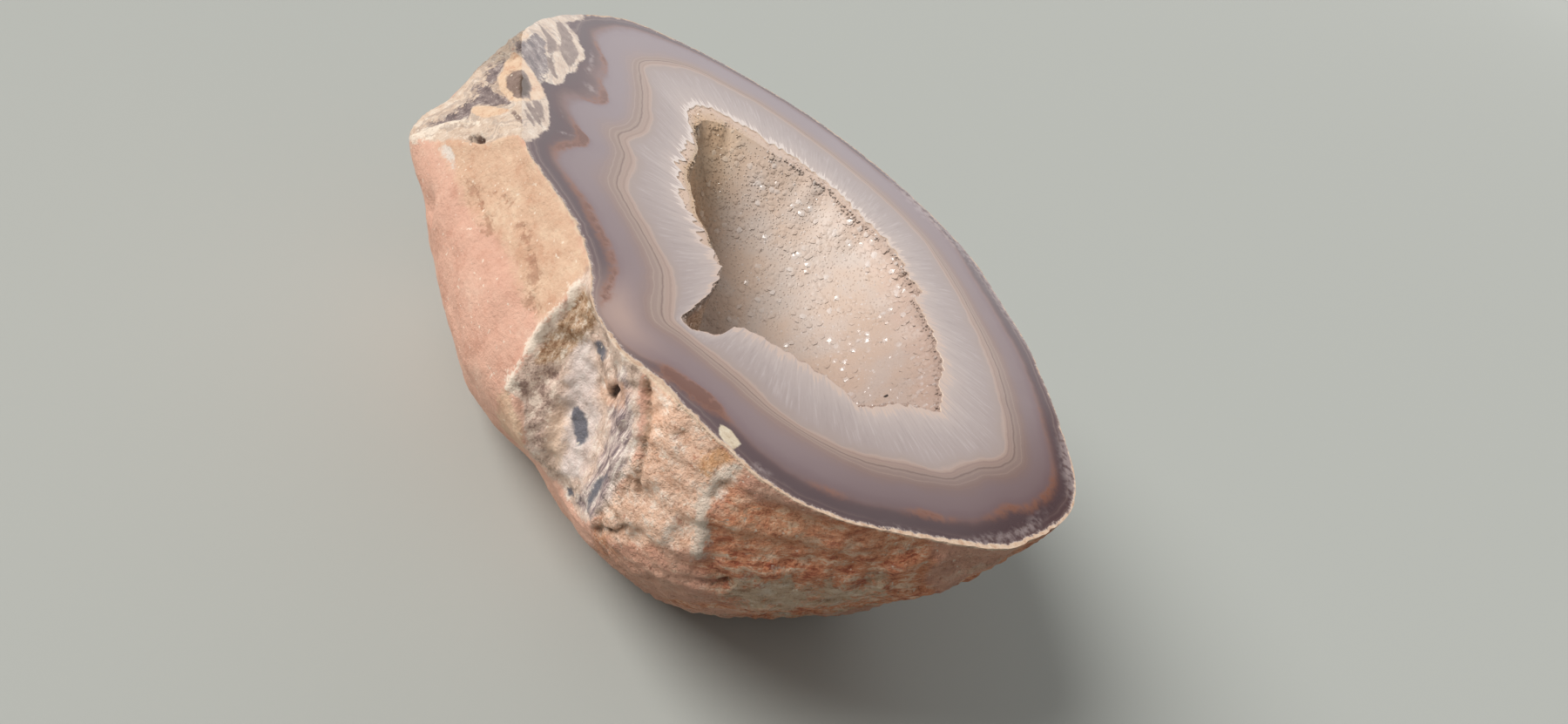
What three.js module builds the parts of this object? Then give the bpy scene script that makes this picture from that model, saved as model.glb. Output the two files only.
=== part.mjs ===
// One half of an agate geode: a stone with a polished cut face on top and a hollow in that face, and the
// crust of quartz crystals that lines the hollow. Millimetres, +Z up, +X along the face.
// The stone rests on the flat worn patch of its underside, and the origin is under the middle of its box.
import * as THREE from "three";

// Driving dimensions.
const faceLength = 120; // the polished face from end to end, along X
const faceWidth = 86; // the polished face from edge to edge, along Y
const stoneHeight = 46; // from the resting patch to the polished face
const hollowDepth = 24; // from the polished face to the bottom of the crystals' bed
const crustThickness = 1.8; // the crystals' bed, between their feet and the stone
const crystalHeight = 2.1; // of a middling crystal point
const gap = 0.3; // between the stone and the crust

// How finely the surfaces are divided.
const crystalRings = 20; // rings of the crystal lattice, with six vertices more in each
const columns = 6 * crystalRings; // vertices round every other ring
const hollowSteps = [0, 0.06, 0.15, 0.27, 0.42, 0.6, 0.8]; // shares of the way from the mouth to the bottom

// The outlines are drawn in millimetres at this size, and are stars round starPoint.
const drawnLength = 120;
const drawnWidth = 86;
const drawnHeight = 46;
const starPoint = [5, 0];
const hollowBottom = [3, -6]; // the deepest place of the hollow
const hollowSteepness = 0.85; // how quickly the wall drops below the mouth, 1 for a plain quarter wave
const swellHeight = 1.2; // low swells of the hollow's wall
const swellSize = 9;
const crystalAim = new THREE.Vector3(3, -6, 52); // the crystals point towards this place above the hollow
const looseInside = 0.7; // how far a crystal may stand from its even place, in steps of the lattice
const looseAtEdge = 0.3; // and beside the mouth's edge

// The edge of the polished face, before the slanted facet takes its near left corner off.
const rim = [
  [60, 0], [58.6, 10], [55, 19.5], [50, 25], [42.5, 29.7], [33, 34.5], [23, 38.6], [12, 41], [0, 42.8],
  [-12, 41], [-24, 36.8], [-36, 29.8], [-45.5, 21], [-54, 10.5], [-59.2, 0], [-60, -5], [-57.5, -15],
  [-54, -22], [-48.3, -28.3], [-41, -35], [-34, -40], [-26, -41.3], [-19, -39.8], [-14, -40.2], [-2, -39],
  [8, -40], [16, -43], [24, -42.8], [29.8, -39.8], [40, -35.5], [47, -31.8], [52.5, -24.5], [56, -15],
  [58.7, -6],
];

// The edge of the hollow, where the crystal points begin, with the cleft that runs towards the near side.
const mouth = [
  [34.5, 0], [36, 5.5], [34, 8.5], [29, 12.5], [22.5, 16], [15, 18.5], [12, 19.5], [9.5, 22], [2, 23],
  [-6, 23.8], [-8, 21.3], [-16, 20], [-22, 16], [-28, 11], [-33.5, 6], [-35, 2], [-33, -3], [-25, -6.5],
  [-18, -12.5], [-10, -15.8], [-2, -17], [5, -17.5], [10, -20], [14.5, -25], [18.3, -30.3], [20, -30.2],
  [21.2, -26.5], [19.8, -22.5], [20.3, -19.8], [26.5, -13.5], [32, -9.8], [35, -6],
];

// The rough outside, level by level from under the face down to the resting patch.
const outsideLevels = [
  {
    height: 38,
    outline: [
      [59.6, -3], [57.8, 6], [54.5, 17], [49, 25], [41, 30], [32, 34.3], [22, 38], [11, 40.8], [0, 42.3],
      [-12, 40.8], [-24, 36.6], [-36, 30], [-46, 21], [-54.5, 10], [-59.4, 0], [-59.8, -7], [-58, -17],
      [-52, -28], [-42.3, -38], [-37, -42], [-31, -43], [-20, -43], [-8, -42.8], [4, -42.8], [12, -43.2],
      [20, -43], [27, -42], [33, -40.2], [40, -37.5], [46, -33.5], [51, -27.5], [55, -19.5], [58.3, -11],
    ],
  },
  {
    height: 30,
    outline: [
      [55.5, -5], [55, 6], [52, 16], [46.5, 24.5], [38, 29.5], [29, 33.5], [19, 37], [8, 39.5], [-3, 40.5],
      [-14, 39], [-25, 35], [-36, 28], [-46, 19], [-54, 8.5], [-57.5, -2], [-57.5, -10], [-55, -20],
      [-49.5, -31.5], [-44.3, -38.8], [-39.5, -44.3], [-30, -45.2], [-18, -46], [-5, -46.2], [5, -46],
      [12, -45], [20, -43.5], [27, -41.5], [33, -40], [39, -38.5], [44, -36.5], [49, -31], [52.5, -23],
      [55, -14],
    ],
  },
  {
    height: 22,
    outline: [
      [51, -5], [51, 8], [48, 18], [42.5, 26], [34, 31], [24, 34.5], [14, 37], [3, 38], [-8, 37.5],
      [-18, 35], [-28, 30.5], [-38, 23.5], [-46, 14], [-51.5, 4], [-53, -6], [-51.5, -16], [-48, -27],
      [-43.5, -35.5], [-37.5, -40.5], [-28, -43], [-18, -44.8], [-5, -46.3], [5, -46.3], [12, -45.3],
      [19, -43], [25, -41], [31, -39.5], [37, -38], [42, -35.5], [46, -30.5], [49, -22.5],
      [50.5, -14],
    ],
  },
  {
    height: 14,
    outline: [
      [46.5, -2], [47, 8], [45, 17], [39.5, 24.5], [31, 29], [21, 31.5], [10, 33.5], [-1, 34], [-12, 32.5],
      [-22, 29.5], [-31, 24.5], [-39, 17.5], [-44.5, 8.5], [-46.5, -2], [-46, -12], [-43.5, -22],
      [-39.5, -31], [-33, -37], [-26, -39], [-13, -40.8], [-1, -42.3], [8, -40.8], [17, -37.7],
      [26.5, -36.2], [33.8, -33.2], [38.6, -29.8], [42.6, -24.7], [44.8, -15],
    ],
  },
  {
    height: 6,
    outline: [
      [41.3, -2], [41.8, 8], [39.5, 16], [33, 22], [25, 25.5], [15, 27.5], [4, 28.5], [-6, 27.5],
      [-16, 25], [-25, 20.5], [-32, 14], [-36.5, 6], [-38, -4], [-37.5, -14], [-34.5, -23], [-29.5, -31],
      [-22, -35], [-8, -36.5], [1, -35.3], [11, -31.6], [20.5, -30.5], [27.5, -27.5],
      [33.8, -24], [38.2, -18], [40.5, -8],
    ],
  },
  {
    height: 0,
    outline: [
      [34, 0], [34, 8], [30, 13.5], [22, 17.5], [11, 19.5], [0, 19.5], [-11, 17.5], [-20, 13], [-26, 6],
      [-28.5, -3], [-28, -13], [-25, -22], [-19, -28], [-10, -30], [0, -28.5], [10, -25.5], [19.5, -23.5],
      [27.8, -19.5], [33, -11],
    ],
  },
];
const ringHeights = [46, 44, 41.5, 38.5, 35, 31.5, 28.5, 25, 21, 17, 13, 9, 5, 2, 0]; // from the rim down

// The slanted facet that takes the near left corner off: the plane with this outward normal, at this
// distance from the middle of the face's foot.
const facet = { normal: new THREE.Vector3(-0.285, -0.752, 0.592).normalize(), distance: 62.5 };

// The scoop that broke out of the near side: its middle, the way it runs down the side and the way across
// it, half its length and width, and how deep it is.
const scoop = {
  at: new THREE.Vector3(21.5, -42.5, 31.5),
  along: new THREE.Vector3(0.32, 0.19, -0.93),
  across: new THREE.Vector3(0.88, 0.3, 0.37),
  halfLength: 18,
  halfWidth: 9.5,
  depth: 5,
};

// Rounded lumps and smaller chips all over the rough outside.
const lumpDepth = 1.3;
const lumpSize = 13;
const chipDepth = 0.9;
const chipSize = 5.5;
const reliefFade = 3; // the relief fades out within this height of the rim and of the resting patch

// Ledges where the layers of the near right side show: the angle of their middle and how far they reach to
// either side of it, in radians, their height and depth, and how much and how broadly they waver.
const ledges = { middle: -0.55, reach: 0.75, spacing: 9, depth: 1.3, waver: 0.8, waverSize: 20 };

// Deep pits in the rough outside: the place of each, how wide and how deep it is.
const pits = [
  { at: new THREE.Vector3(-33, -36.5, 42.5), width: 4.5, depth: 2.4 },
  { at: new THREE.Vector3(25, -39.5, 37), width: 4, depth: 1.6 },
  { at: new THREE.Vector3(-25, -45, 27), width: 4, depth: 1.2 },
];

// From the drawing's millimetres to the real size.
const scale = new THREE.Vector3(
  faceLength / drawnLength,
  faceWidth / drawnWidth,
  stoneHeight / drawnHeight,
);
const fullTurn = 2 * Math.PI;
const samplesPerPoint = 10; // how finely the smooth curve through an outline is read
const angleOf = (column) => (fullTurn * column) / columns;
const withinTurn = (angle) => THREE.MathUtils.euclideanModulo(angle, fullTurn);
const smooth = (t) => t * t * (3 - 2 * t);

// A repeatable random number between 0 and 1 for a place with whole-number coordinates.
function chance(i, j, k) {
  const wave = Math.sin(i * 127.1 + j * 311.7 + k * 74.7) * 43758.5453;
  return wave - Math.floor(wave);
}

// A smooth random field between 0 and 1: chances at whole places, blended along x, then y, then z.
function field(x, y, z) {
  const [i, j, k] = [Math.floor(x), Math.floor(y), Math.floor(z)];
  const [u, v, w] = [smooth(x - i), smooth(y - j), smooth(z - k)];
  const { lerp } = THREE.MathUtils;
  const alongX = (dj, dk) => lerp(chance(i, j + dj, k + dk), chance(i + 1, j + dj, k + dk), u);
  const alongY = (dk) => lerp(alongX(0, dk), alongX(1, dk), v);
  return lerp(alongY(0), alongY(1), w);
}

// The distance of an outline from starPoint at any angle, read off a smooth closed curve through its
// points.
function distanceOf(outline) {
  const points = outline.map(([x, y]) => new THREE.Vector3(x - starPoint[0], y - starPoint[1], 0));
  const curve = new THREE.CatmullRomCurve3(points, true, "centripetal");
  const samples = curve
    .getPoints(points.length * samplesPerPoint)
    .slice(1)
    .map((p) => ({ angle: withinTurn(Math.atan2(p.y, p.x)), distance: Math.hypot(p.x, p.y) }))
    .sort((a, b) => a.angle - b.angle);
  return (angle) => {
    const next = samples.findIndex((s) => s.angle > withinTurn(angle));
    const after = samples[next < 0 ? 0 : next];
    const before = samples[next < 1 ? samples.length - 1 : next - 1];
    const part = withinTurn(angle - before.angle) / withinTurn(after.angle - before.angle);
    return THREE.MathUtils.lerp(before.distance, after.distance, part);
  };
}

const mouthDistance = distanceOf(mouth);
const levels = [
  { height: drawnHeight, distance: distanceOf(rim) },
  ...outsideLevels.map(({ height, outline }) => ({ height, distance: distanceOf(outline) })),
];

// The distance of the outside from the star's axis at an angle and height: a smooth curve through the
// levels, whose slope at a level is the mean slope between the levels above and below it.
function outsideDistance(angle, height) {
  const above = Math.max(0, levels.findLastIndex((level) => level.height >= height));
  const i = Math.min(above, levels.length - 2);
  const at = (n) => levels[THREE.MathUtils.clamp(n, 0, levels.length - 1)];
  const rise = (n) => at(n + 1).height - at(n - 1).height;
  const slope = (n) => (at(n + 1).distance(angle) - at(n - 1).distance(angle)) / rise(n);
  const span = at(i + 1).height - at(i).height;
  const t = (height - at(i).height) / span;
  const bend = t * t * (3 - 2 * t);
  return (
    at(i).distance(angle) * (1 - bend) +
    at(i + 1).distance(angle) * bend +
    slope(i) * span * t * (1 - t) ** 2 -
    slope(i + 1) * span * t * t * (1 - t)
  );
}

// How far lumps, chips, ledges, pits and the scoop press the outside in, at a point given in the drawing's
// millimetres. It fades out at the rim and at the resting patch.
function relief(point) {
  const { x, y, z } = point;
  const lumps = lumpDepth * (field(x / lumpSize + 7, y / lumpSize + 7, z / lumpSize + 7) - 0.6);
  const chips = chipDepth * (field(x / chipSize, y / chipSize, z / chipSize) - 0.5);
  const aside = Math.abs(Math.atan2(y - starPoint[1], x - starPoint[0]) - ledges.middle) / ledges.reach;
  const near = THREE.MathUtils.clamp(2 - 2 * aside, 0, 1);
  const waver = ledges.waver * field(x / ledges.waverSize, y / ledges.waverSize, 3);
  const layer = z / ledges.spacing + waver;
  const step = ledges.depth * near * smooth(layer - Math.floor(layer));
  const pitted = pits.map(({ at, width, depth }) => {
    const away = point.distanceTo(at) / width;
    return away < 1 ? depth * smooth(1 - away) : 0;
  });
  const fromScoop = point.clone().sub(scoop.at);
  const along = fromScoop.dot(scoop.along) / scoop.halfLength;
  const across = fromScoop.dot(scoop.across) / scoop.halfWidth;
  const scooped = scoop.depth * Math.max(0, 1 - along ** 2 - across ** 2);
  const fade = THREE.MathUtils.clamp(Math.min(drawnHeight - z, z) / reliefFade, 0, 1);
  return fade * (lumps + chips + step + scooped + Math.max(...pitted));
}

// How far out from the star's axis the facet's plane lies, at an angle and height.
function facetDistance(angle, height) {
  const direction = new THREE.Vector3(Math.cos(angle), Math.sin(angle), 0);
  const lean = facet.normal.dot(direction);
  const start = facet.normal.dot(new THREE.Vector3(starPoint[0], starPoint[1], height));
  return lean > 0.01 ? (facet.distance - start) / lean : Infinity;
}

// The point at an angle and distance from the star's axis, in the drawing's millimetres.
function starAt(angle, distance, height) {
  const x = starPoint[0] + distance * Math.cos(angle);
  const y = starPoint[1] + distance * Math.sin(angle);
  return new THREE.Vector3(x, y, height);
}

// A point of the rough outside, or of the rim at the drawing's full height.
function outsidePoint(angle, height) {
  const cut = Math.min(outsideDistance(angle, height), facetDistance(angle, height));
  const pressed = cut - relief(starAt(angle, cut, height));
  return starAt(angle, pressed, height).multiply(scale);
}

// A ring of the outside at one height.
const outsideRing = (height) =>
  Array.from({ length: columns }, (_, column) => outsidePoint(angleOf(column), height));

// A point of the hollow's wall, at an angle and a share of the way from the mouth (0) to the bottom (1).
// The wall drops steeply below the mouth and flattens towards the bottom. It lies deeper in the stone by
// back.
function hollowPoint(angle, share, back) {
  const edge = starAt(angle, mouthDistance(angle) + back, 0);
  const { x, y } = edge.lerp(new THREE.Vector3(hollowBottom[0], hollowBottom[1], 0), share);
  const sunk = Math.sin((share * Math.PI) / 2) ** hollowSteepness;
  const swell = swellHeight * (field(x / swellSize, y / swellSize, 5) - 0.5) * Math.sin(share * Math.PI);
  const depth = (hollowDepth / scale.z + back) * sunk - swell;
  return new THREE.Vector3(x, y, drawnHeight - depth).multiply(scale);
}

const hollowRing = (share, back) =>
  Array.from({ length: columns }, (_, column) => hollowPoint(angleOf(column), share, back));

// A surface being built: points are added once, and triangles name them by their numbers.
class Skin {
  constructor() {
    this.places = [];
    this.faces = [];
  }

  // Adds a list of points and returns their numbers.
  add(points) {
    return points.map((p) => this.places.push(p.x, p.y, p.z) / 3 - 1);
  }

  // Joins two rings of equal length by a strip of triangles.
  strip(ringA, ringB) {
    ringA.forEach((a, i) => {
      const next = (i + 1) % ringA.length;
      this.faces.push(a, ringA[next], ringB[next], a, ringB[next], ringB[i]);
    });
  }

  // Closes a ring with a fan from one point.
  fan(point, ring) {
    ring.forEach((a, i) => this.faces.push(point, a, ring[(i + 1) % ring.length]));
  }

  geometry() {
    const made = new THREE.BufferGeometry();
    made.setAttribute("position", new THREE.Float32BufferAttribute(this.places, 3));
    made.setIndex(this.faces);
    const flat = made.toNonIndexed(); // every triangle keeps its own flat shading
    flat.computeVertexNormals();
    return flat;
  }
}

// The stone: from the middle of the resting patch out and up the outside, over the rim, in across the
// polished face, and down the hollow to its bottom.
function stoneGeometry() {
  const skin = new Skin();
  const back = crustThickness + gap;
  const outside = ringHeights.map(outsideRing).reverse();
  const hollow = hollowSteps.map((share) => hollowRing(share, back));
  const rings = [...outside, ...hollow].map((ring) => skin.add(ring));
  const [patchMiddle] = skin.add([starAt(0, 0, 0).multiply(scale)]);
  const [bottom] = skin.add([hollowPoint(0, 1, back)]);
  skin.fan(patchMiddle, [...rings[0]].reverse());
  rings.slice(1).forEach((ring, i) => skin.strip(rings[i], ring));
  skin.fan(bottom, rings[rings.length - 1]);
  return skin.geometry();
}

// One vertex of the crystal lattice. Ring r holds 6 r vertices, in six equal stretches. Every third vertex
// is a crystal's point and the six round it are its feet, so the crystals stand as six-sided pyramids.
function latticePoint(ring, place) {
  const angle = (fullTurn * place) / (6 * ring);
  const isPoint = (ring + (place % ring)) % 3 === 0;
  const jitter = (n) => chance(ring, place, n) - 0.5;
  const loose = ring < crystalRings - 1 ? looseInside : looseAtEdge;
  const share = 1 - (ring + loose * jitter(1)) / crystalRings;
  const turned = angle + (loose * jitter(2)) / ring;
  const foot = hollowPoint(turned, THREE.MathUtils.clamp(share, 0, 1), 0);
  const towards = crystalAim.clone().sub(foot).normalize();
  const height = isPoint ? crystalHeight * (0.6 + 0.8 * chance(ring, place, 3)) : 0;
  const tip = foot.addScaledVector(towards, height);
  tip.z = Math.min(tip.z, stoneHeight - gap);
  return tip;
}

// The crust: a bowl whose back follows the hollow, with a flat cut edge flush with the polished face, and
// crystal points all over its inside.
function crustGeometry() {
  const skin = new Skin();
  const backRings = hollowSteps.map((share) => skin.add(hollowRing(share, crustThickness))).reverse();
  const [bottom] = skin.add([hollowPoint(0, 1, crustThickness)]);
  skin.fan(bottom, [...backRings[0]].reverse());
  backRings.slice(1).forEach((ring, i) => skin.strip(backRings[i], ring));
  let outer = skin.add(hollowRing(0, 0));
  skin.strip(backRings[backRings.length - 1], outer);
  for (let ring = crystalRings - 1; ring > 0; ring -= 1) {
    const places = Array.from({ length: 6 * ring }, (_, place) => latticePoint(ring, place));
    const inner = skin.add(places);
    for (let place = 0; place < 6 * ring; place += 1) {
      const o = place + Math.floor(place / ring); // the outer ring has one vertex more in each stretch
      const [a, b, c] = [outer[o], outer[o + 1], outer[(o + 2) % outer.length]];
      const [d, e] = [inner[place], inner[(place + 1) % inner.length]];
      skin.faces.push(d, a, b, d, b, e);
      if ((place + 1) % ring === 0) skin.faces.push(e, b, c);
    }
    outer = inner;
  }
  const [middle] = skin.add([hollowPoint(0, 1, 0)]);
  skin.fan(middle, outer);
  return skin.geometry();
}

function mesh(name, geometry, looks) {
  const made = new THREE.Mesh(geometry, new THREE.MeshStandardMaterial(looks));
  made.name = name;
  return made;
}

const stone = mesh("stone", stoneGeometry(), { color: 0xa08a84, roughness: 0.45, metalness: 0 });
const crust = mesh("crystal_crust", crustGeometry(), { color: 0xcdbcac, roughness: 0.2, metalness: 0 });

// The group is moved sideways so that the origin lies under the middle of the stone's box.
const geode = new THREE.Group();
geode.name = "agate_geode";
geode.add(stone, crust);
const middle = new THREE.Box3().setFromObject(stone).getCenter(new THREE.Vector3());
geode.position.set(-middle.x, -middle.y, 0);

export default geode;
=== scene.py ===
import math
import bpy
import numpy as np
from mathutils import Matrix, Vector


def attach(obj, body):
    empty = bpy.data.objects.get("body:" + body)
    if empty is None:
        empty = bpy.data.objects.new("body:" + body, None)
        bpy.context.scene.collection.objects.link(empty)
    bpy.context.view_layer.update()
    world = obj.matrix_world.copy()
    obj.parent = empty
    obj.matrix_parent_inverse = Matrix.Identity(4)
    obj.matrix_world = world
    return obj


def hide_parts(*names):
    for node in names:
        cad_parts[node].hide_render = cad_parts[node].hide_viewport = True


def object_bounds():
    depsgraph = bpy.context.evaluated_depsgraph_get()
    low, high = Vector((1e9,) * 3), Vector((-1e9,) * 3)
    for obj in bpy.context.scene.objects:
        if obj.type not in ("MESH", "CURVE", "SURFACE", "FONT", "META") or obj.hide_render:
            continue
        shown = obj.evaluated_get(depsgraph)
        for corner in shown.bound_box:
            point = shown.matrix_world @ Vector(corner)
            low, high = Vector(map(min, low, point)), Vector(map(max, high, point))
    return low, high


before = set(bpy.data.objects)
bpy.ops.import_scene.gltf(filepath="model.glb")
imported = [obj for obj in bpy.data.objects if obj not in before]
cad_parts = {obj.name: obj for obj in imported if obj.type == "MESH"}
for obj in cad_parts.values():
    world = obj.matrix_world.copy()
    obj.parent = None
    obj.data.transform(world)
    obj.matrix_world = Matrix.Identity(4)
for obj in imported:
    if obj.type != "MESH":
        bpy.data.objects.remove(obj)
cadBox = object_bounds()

starMiddle = np.array([5.0, 0.0])  # every outline is a star round this place
faceHeight = 46.0
hollowBottom = np.array([3.0, -6.0])
eyePlace = np.array([113.3, -124.9, 134.5])  # where the camera stands
layerTilt = (-0.18, -0.32, 1.0)  # the height above the crust's slanting layers, from x, y and z


# Plain shapes in numbers

def smoothStep(t):
    # 3 t squared minus 2 t cubed, held between 0 and 1
    t = np.clip(t, 0, 1)
    return t * t * (3 - 2 * t)


def chance(i, j, k):
    # a repeatable random number for whole places: the fraction of a large sine
    wave = np.sin(i * 127.1 + j * 311.7 + k * 74.7) * 43758.5453
    return wave - np.floor(wave)


def field(places):
    # smooth random field between 0 and 1: chances at whole places, blended along x, then y, then z
    low = np.floor(places)
    u, v, w = np.moveaxis(smoothStep(places - low), -1, 0)
    i, j, k = np.moveaxis(low, -1, 0)
    alongX = lambda dj, dk: chance(i, j + dj, k + dk) * (1 - u) + chance(i + 1, j + dj, k + dk) * u
    alongY = lambda dk: alongX(0, dk) * (1 - v) + alongX(1, dk) * v
    return alongY(0) * (1 - w) + alongY(1) * w


def ridged(places):
    # sharp crests between rounded dips: 1 less twice the field's distance from its middle
    return 1 - np.abs(2 * field(places) - 1)


def withThird(places, third):
    # places in plan with the same third number for all
    return np.concatenate([places, np.full(places.shape[:-1] + (1,), third)], -1)


def starDistance(outline, angles, samples=10):
    # a closed centripetal Catmull-Rom curve through the outline, read as distance from the star's middle
    p = np.array(outline, float).reshape(-1, 2) - starMiddle
    last, after, beyond = np.roll(p, 1, 0), np.roll(p, -1, 0), np.roll(p, -2, 0)
    knot = lambda a, b: np.sum((b - a) ** 2, 1)[:, None] ** 0.25
    k0, k1, k2 = knot(last, p), knot(p, after), knot(after, beyond)
    leave = ((p - last) / k0 - (after - last) / (k0 + k1) + (after - p) / k1) * k1
    arrive = ((after - p) / k1 - (beyond - p) / (k1 + k2) + (beyond - after) / k2) * k1
    t = (np.arange(samples) / samples)[:, None, None]
    square = (3 * (after - p) - 2 * leave - arrive) * t ** 2
    cube = (2 * (p - after) + leave + arrive) * t ** 3
    curve = (p + leave * t + square + cube).reshape(-1, 2)
    turn = np.arctan2(curve[:, 1], curve[:, 0])
    return np.interp(angles, turn, np.hypot(curve[:, 0], curve[:, 1]), period=2 * math.pi)


def starPlace(angles, distances, heights):
    # the place at an angle and distance from the star's middle
    x = starMiddle[0] + distances * np.cos(angles)
    y = starMiddle[1] + distances * np.sin(angles)
    return np.stack(np.broadcast_arrays(x, y, heights), -1)


def sidesDistance(places, a, side):
    # distance to the nearest of some straight sides, each from its start a
    away = places[..., None, :] - a
    t = np.clip((away * side).sum(-1) / (side ** 2).sum(-1), 0, 1)[..., None]
    return np.linalg.norm(away - t * side, axis=-1).min(-1)


def insideDepth(places, outline):
    # distance to the nearest side of a closed outline, counted positive inside it
    a = np.array(outline, float).reshape(-1, 2)
    b = np.roll(a, -1, 0)
    side = b - a
    x, y = places[..., None, 0], places[..., None, 1]
    rise = np.where(side[:, 1] == 0, 1e-9, side[:, 1])
    straddles = (a[:, 1] > y) != (b[:, 1] > y)
    crossings = straddles & (x < side[:, 0] * (y - a[:, 1]) / rise + a[:, 0])
    distance = sidesDistance(places, a, side)
    return np.where(crossings.sum(-1) % 2 == 1, distance, -distance)


def soft(places, x, y, reach, aside, turn):
    # a rounded spot: 1 in the middle, falling off with its reach along and aside as a bell curve
    c, s = math.cos(math.radians(turn)), math.sin(math.radians(turn))
    east, north = places[..., 0] - x, places[..., 1] - y
    return np.exp(-((east * c + north * s) / reach) ** 2 - ((north * c - east * s) / aside) ** 2)


# The stone: its outlines, its bands and how finely it is divided

stone = {
    "columns": 640,
    "crowdedSide": math.radians(-100),  # the columns stand closest on this side
    "crowding": 0.25,
    "patchRows": 5,
    "outsideRows": 98,
    "bandRows": (17, 5, 6, 9),  # between the rim and the four lines on the face
    "bandLeast": (0.25, 0.5, 0.6, 1.0),  # the least width of a band
    "hollowRows": 11,
    "lumps": 1.3,  # from here on, how strong each kind of unevenness is, in millimetres
    "chips": 0.9,
    "ledges": 0.4,
    "ledgeSide": -0.55,  # the direction where the ledges are strongest, and how far they go round
    "ledgeReach": 0.75,
    "crumb": 0.6,  # roughness of the broken outside
    "skin": 0.3,  # unevenness of the smooth pink and yellow skin
    "sheets": 0.5,  # thin layers of the crust
    "steps": 0.4,  # ledges of the crust
    "rimChips": 0.5,
    "mouthTeeth": 0.9,
    "pinkSide": math.radians(-100),  # the middle of the pink skin, and how far it goes round
    "pinkReach": math.radians(46),
}
scoopForm = {
    "middle": (21.5, -42.5, 31.5),
    "along": ((0.32, 0.19, -0.93), 18),  # a direction, and the reach of the scoop in it
    "across": ((0.88, 0.3, 0.37), 9.5),
    "depth": 5,
}
hollowForm = {
    "depth": 24,
    "steepness": 0.85,  # the wall falls as a quarter wave to this power
    "ledge": 0.45,  # how far the shoulder inside the edge sinks
    "swell": 1.2,
    "teethGone": 0.06,  # shares of the way to the bottom
    "shoulderEven": 0.2,
    "notchesGone": 0.28,
    "solidBack": 1.1,  # how far the stone's own wall lies behind the crystals' bed, and below it
    "solidBelow": 0.6,
    "solidBottom": 25.7,
}
shoulder = (  # direction in degrees, and how wide the crystals shelve inside the hollow's edge
    (-172, -160, -142, -134, -123, -112, -99, -90, -81, -72, -66, -57, -38, -20, 0, 90, 165),
    (3.2, 3.4, 3.2, 2.9, 2.6, 2.2, 1.8, 1.6, 1.5, 1.0, 0.8, 0.5, 0.5, 0.7, 0.5, 0.4, 2.6))
rindWidth = (  # direction in degrees, and how wide the pale rind is there
    (-178, -165, -150, -110, -70, -60, -50, -20, -8, 2, 12, 25, 45, 170),
    (0.3, 0.25, 0.2, 0.2, 0.3, 0.9, 0.55, 0.45, 0.75, 0.8, 0.45, 0.25, 0.1, 0.15))

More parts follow.
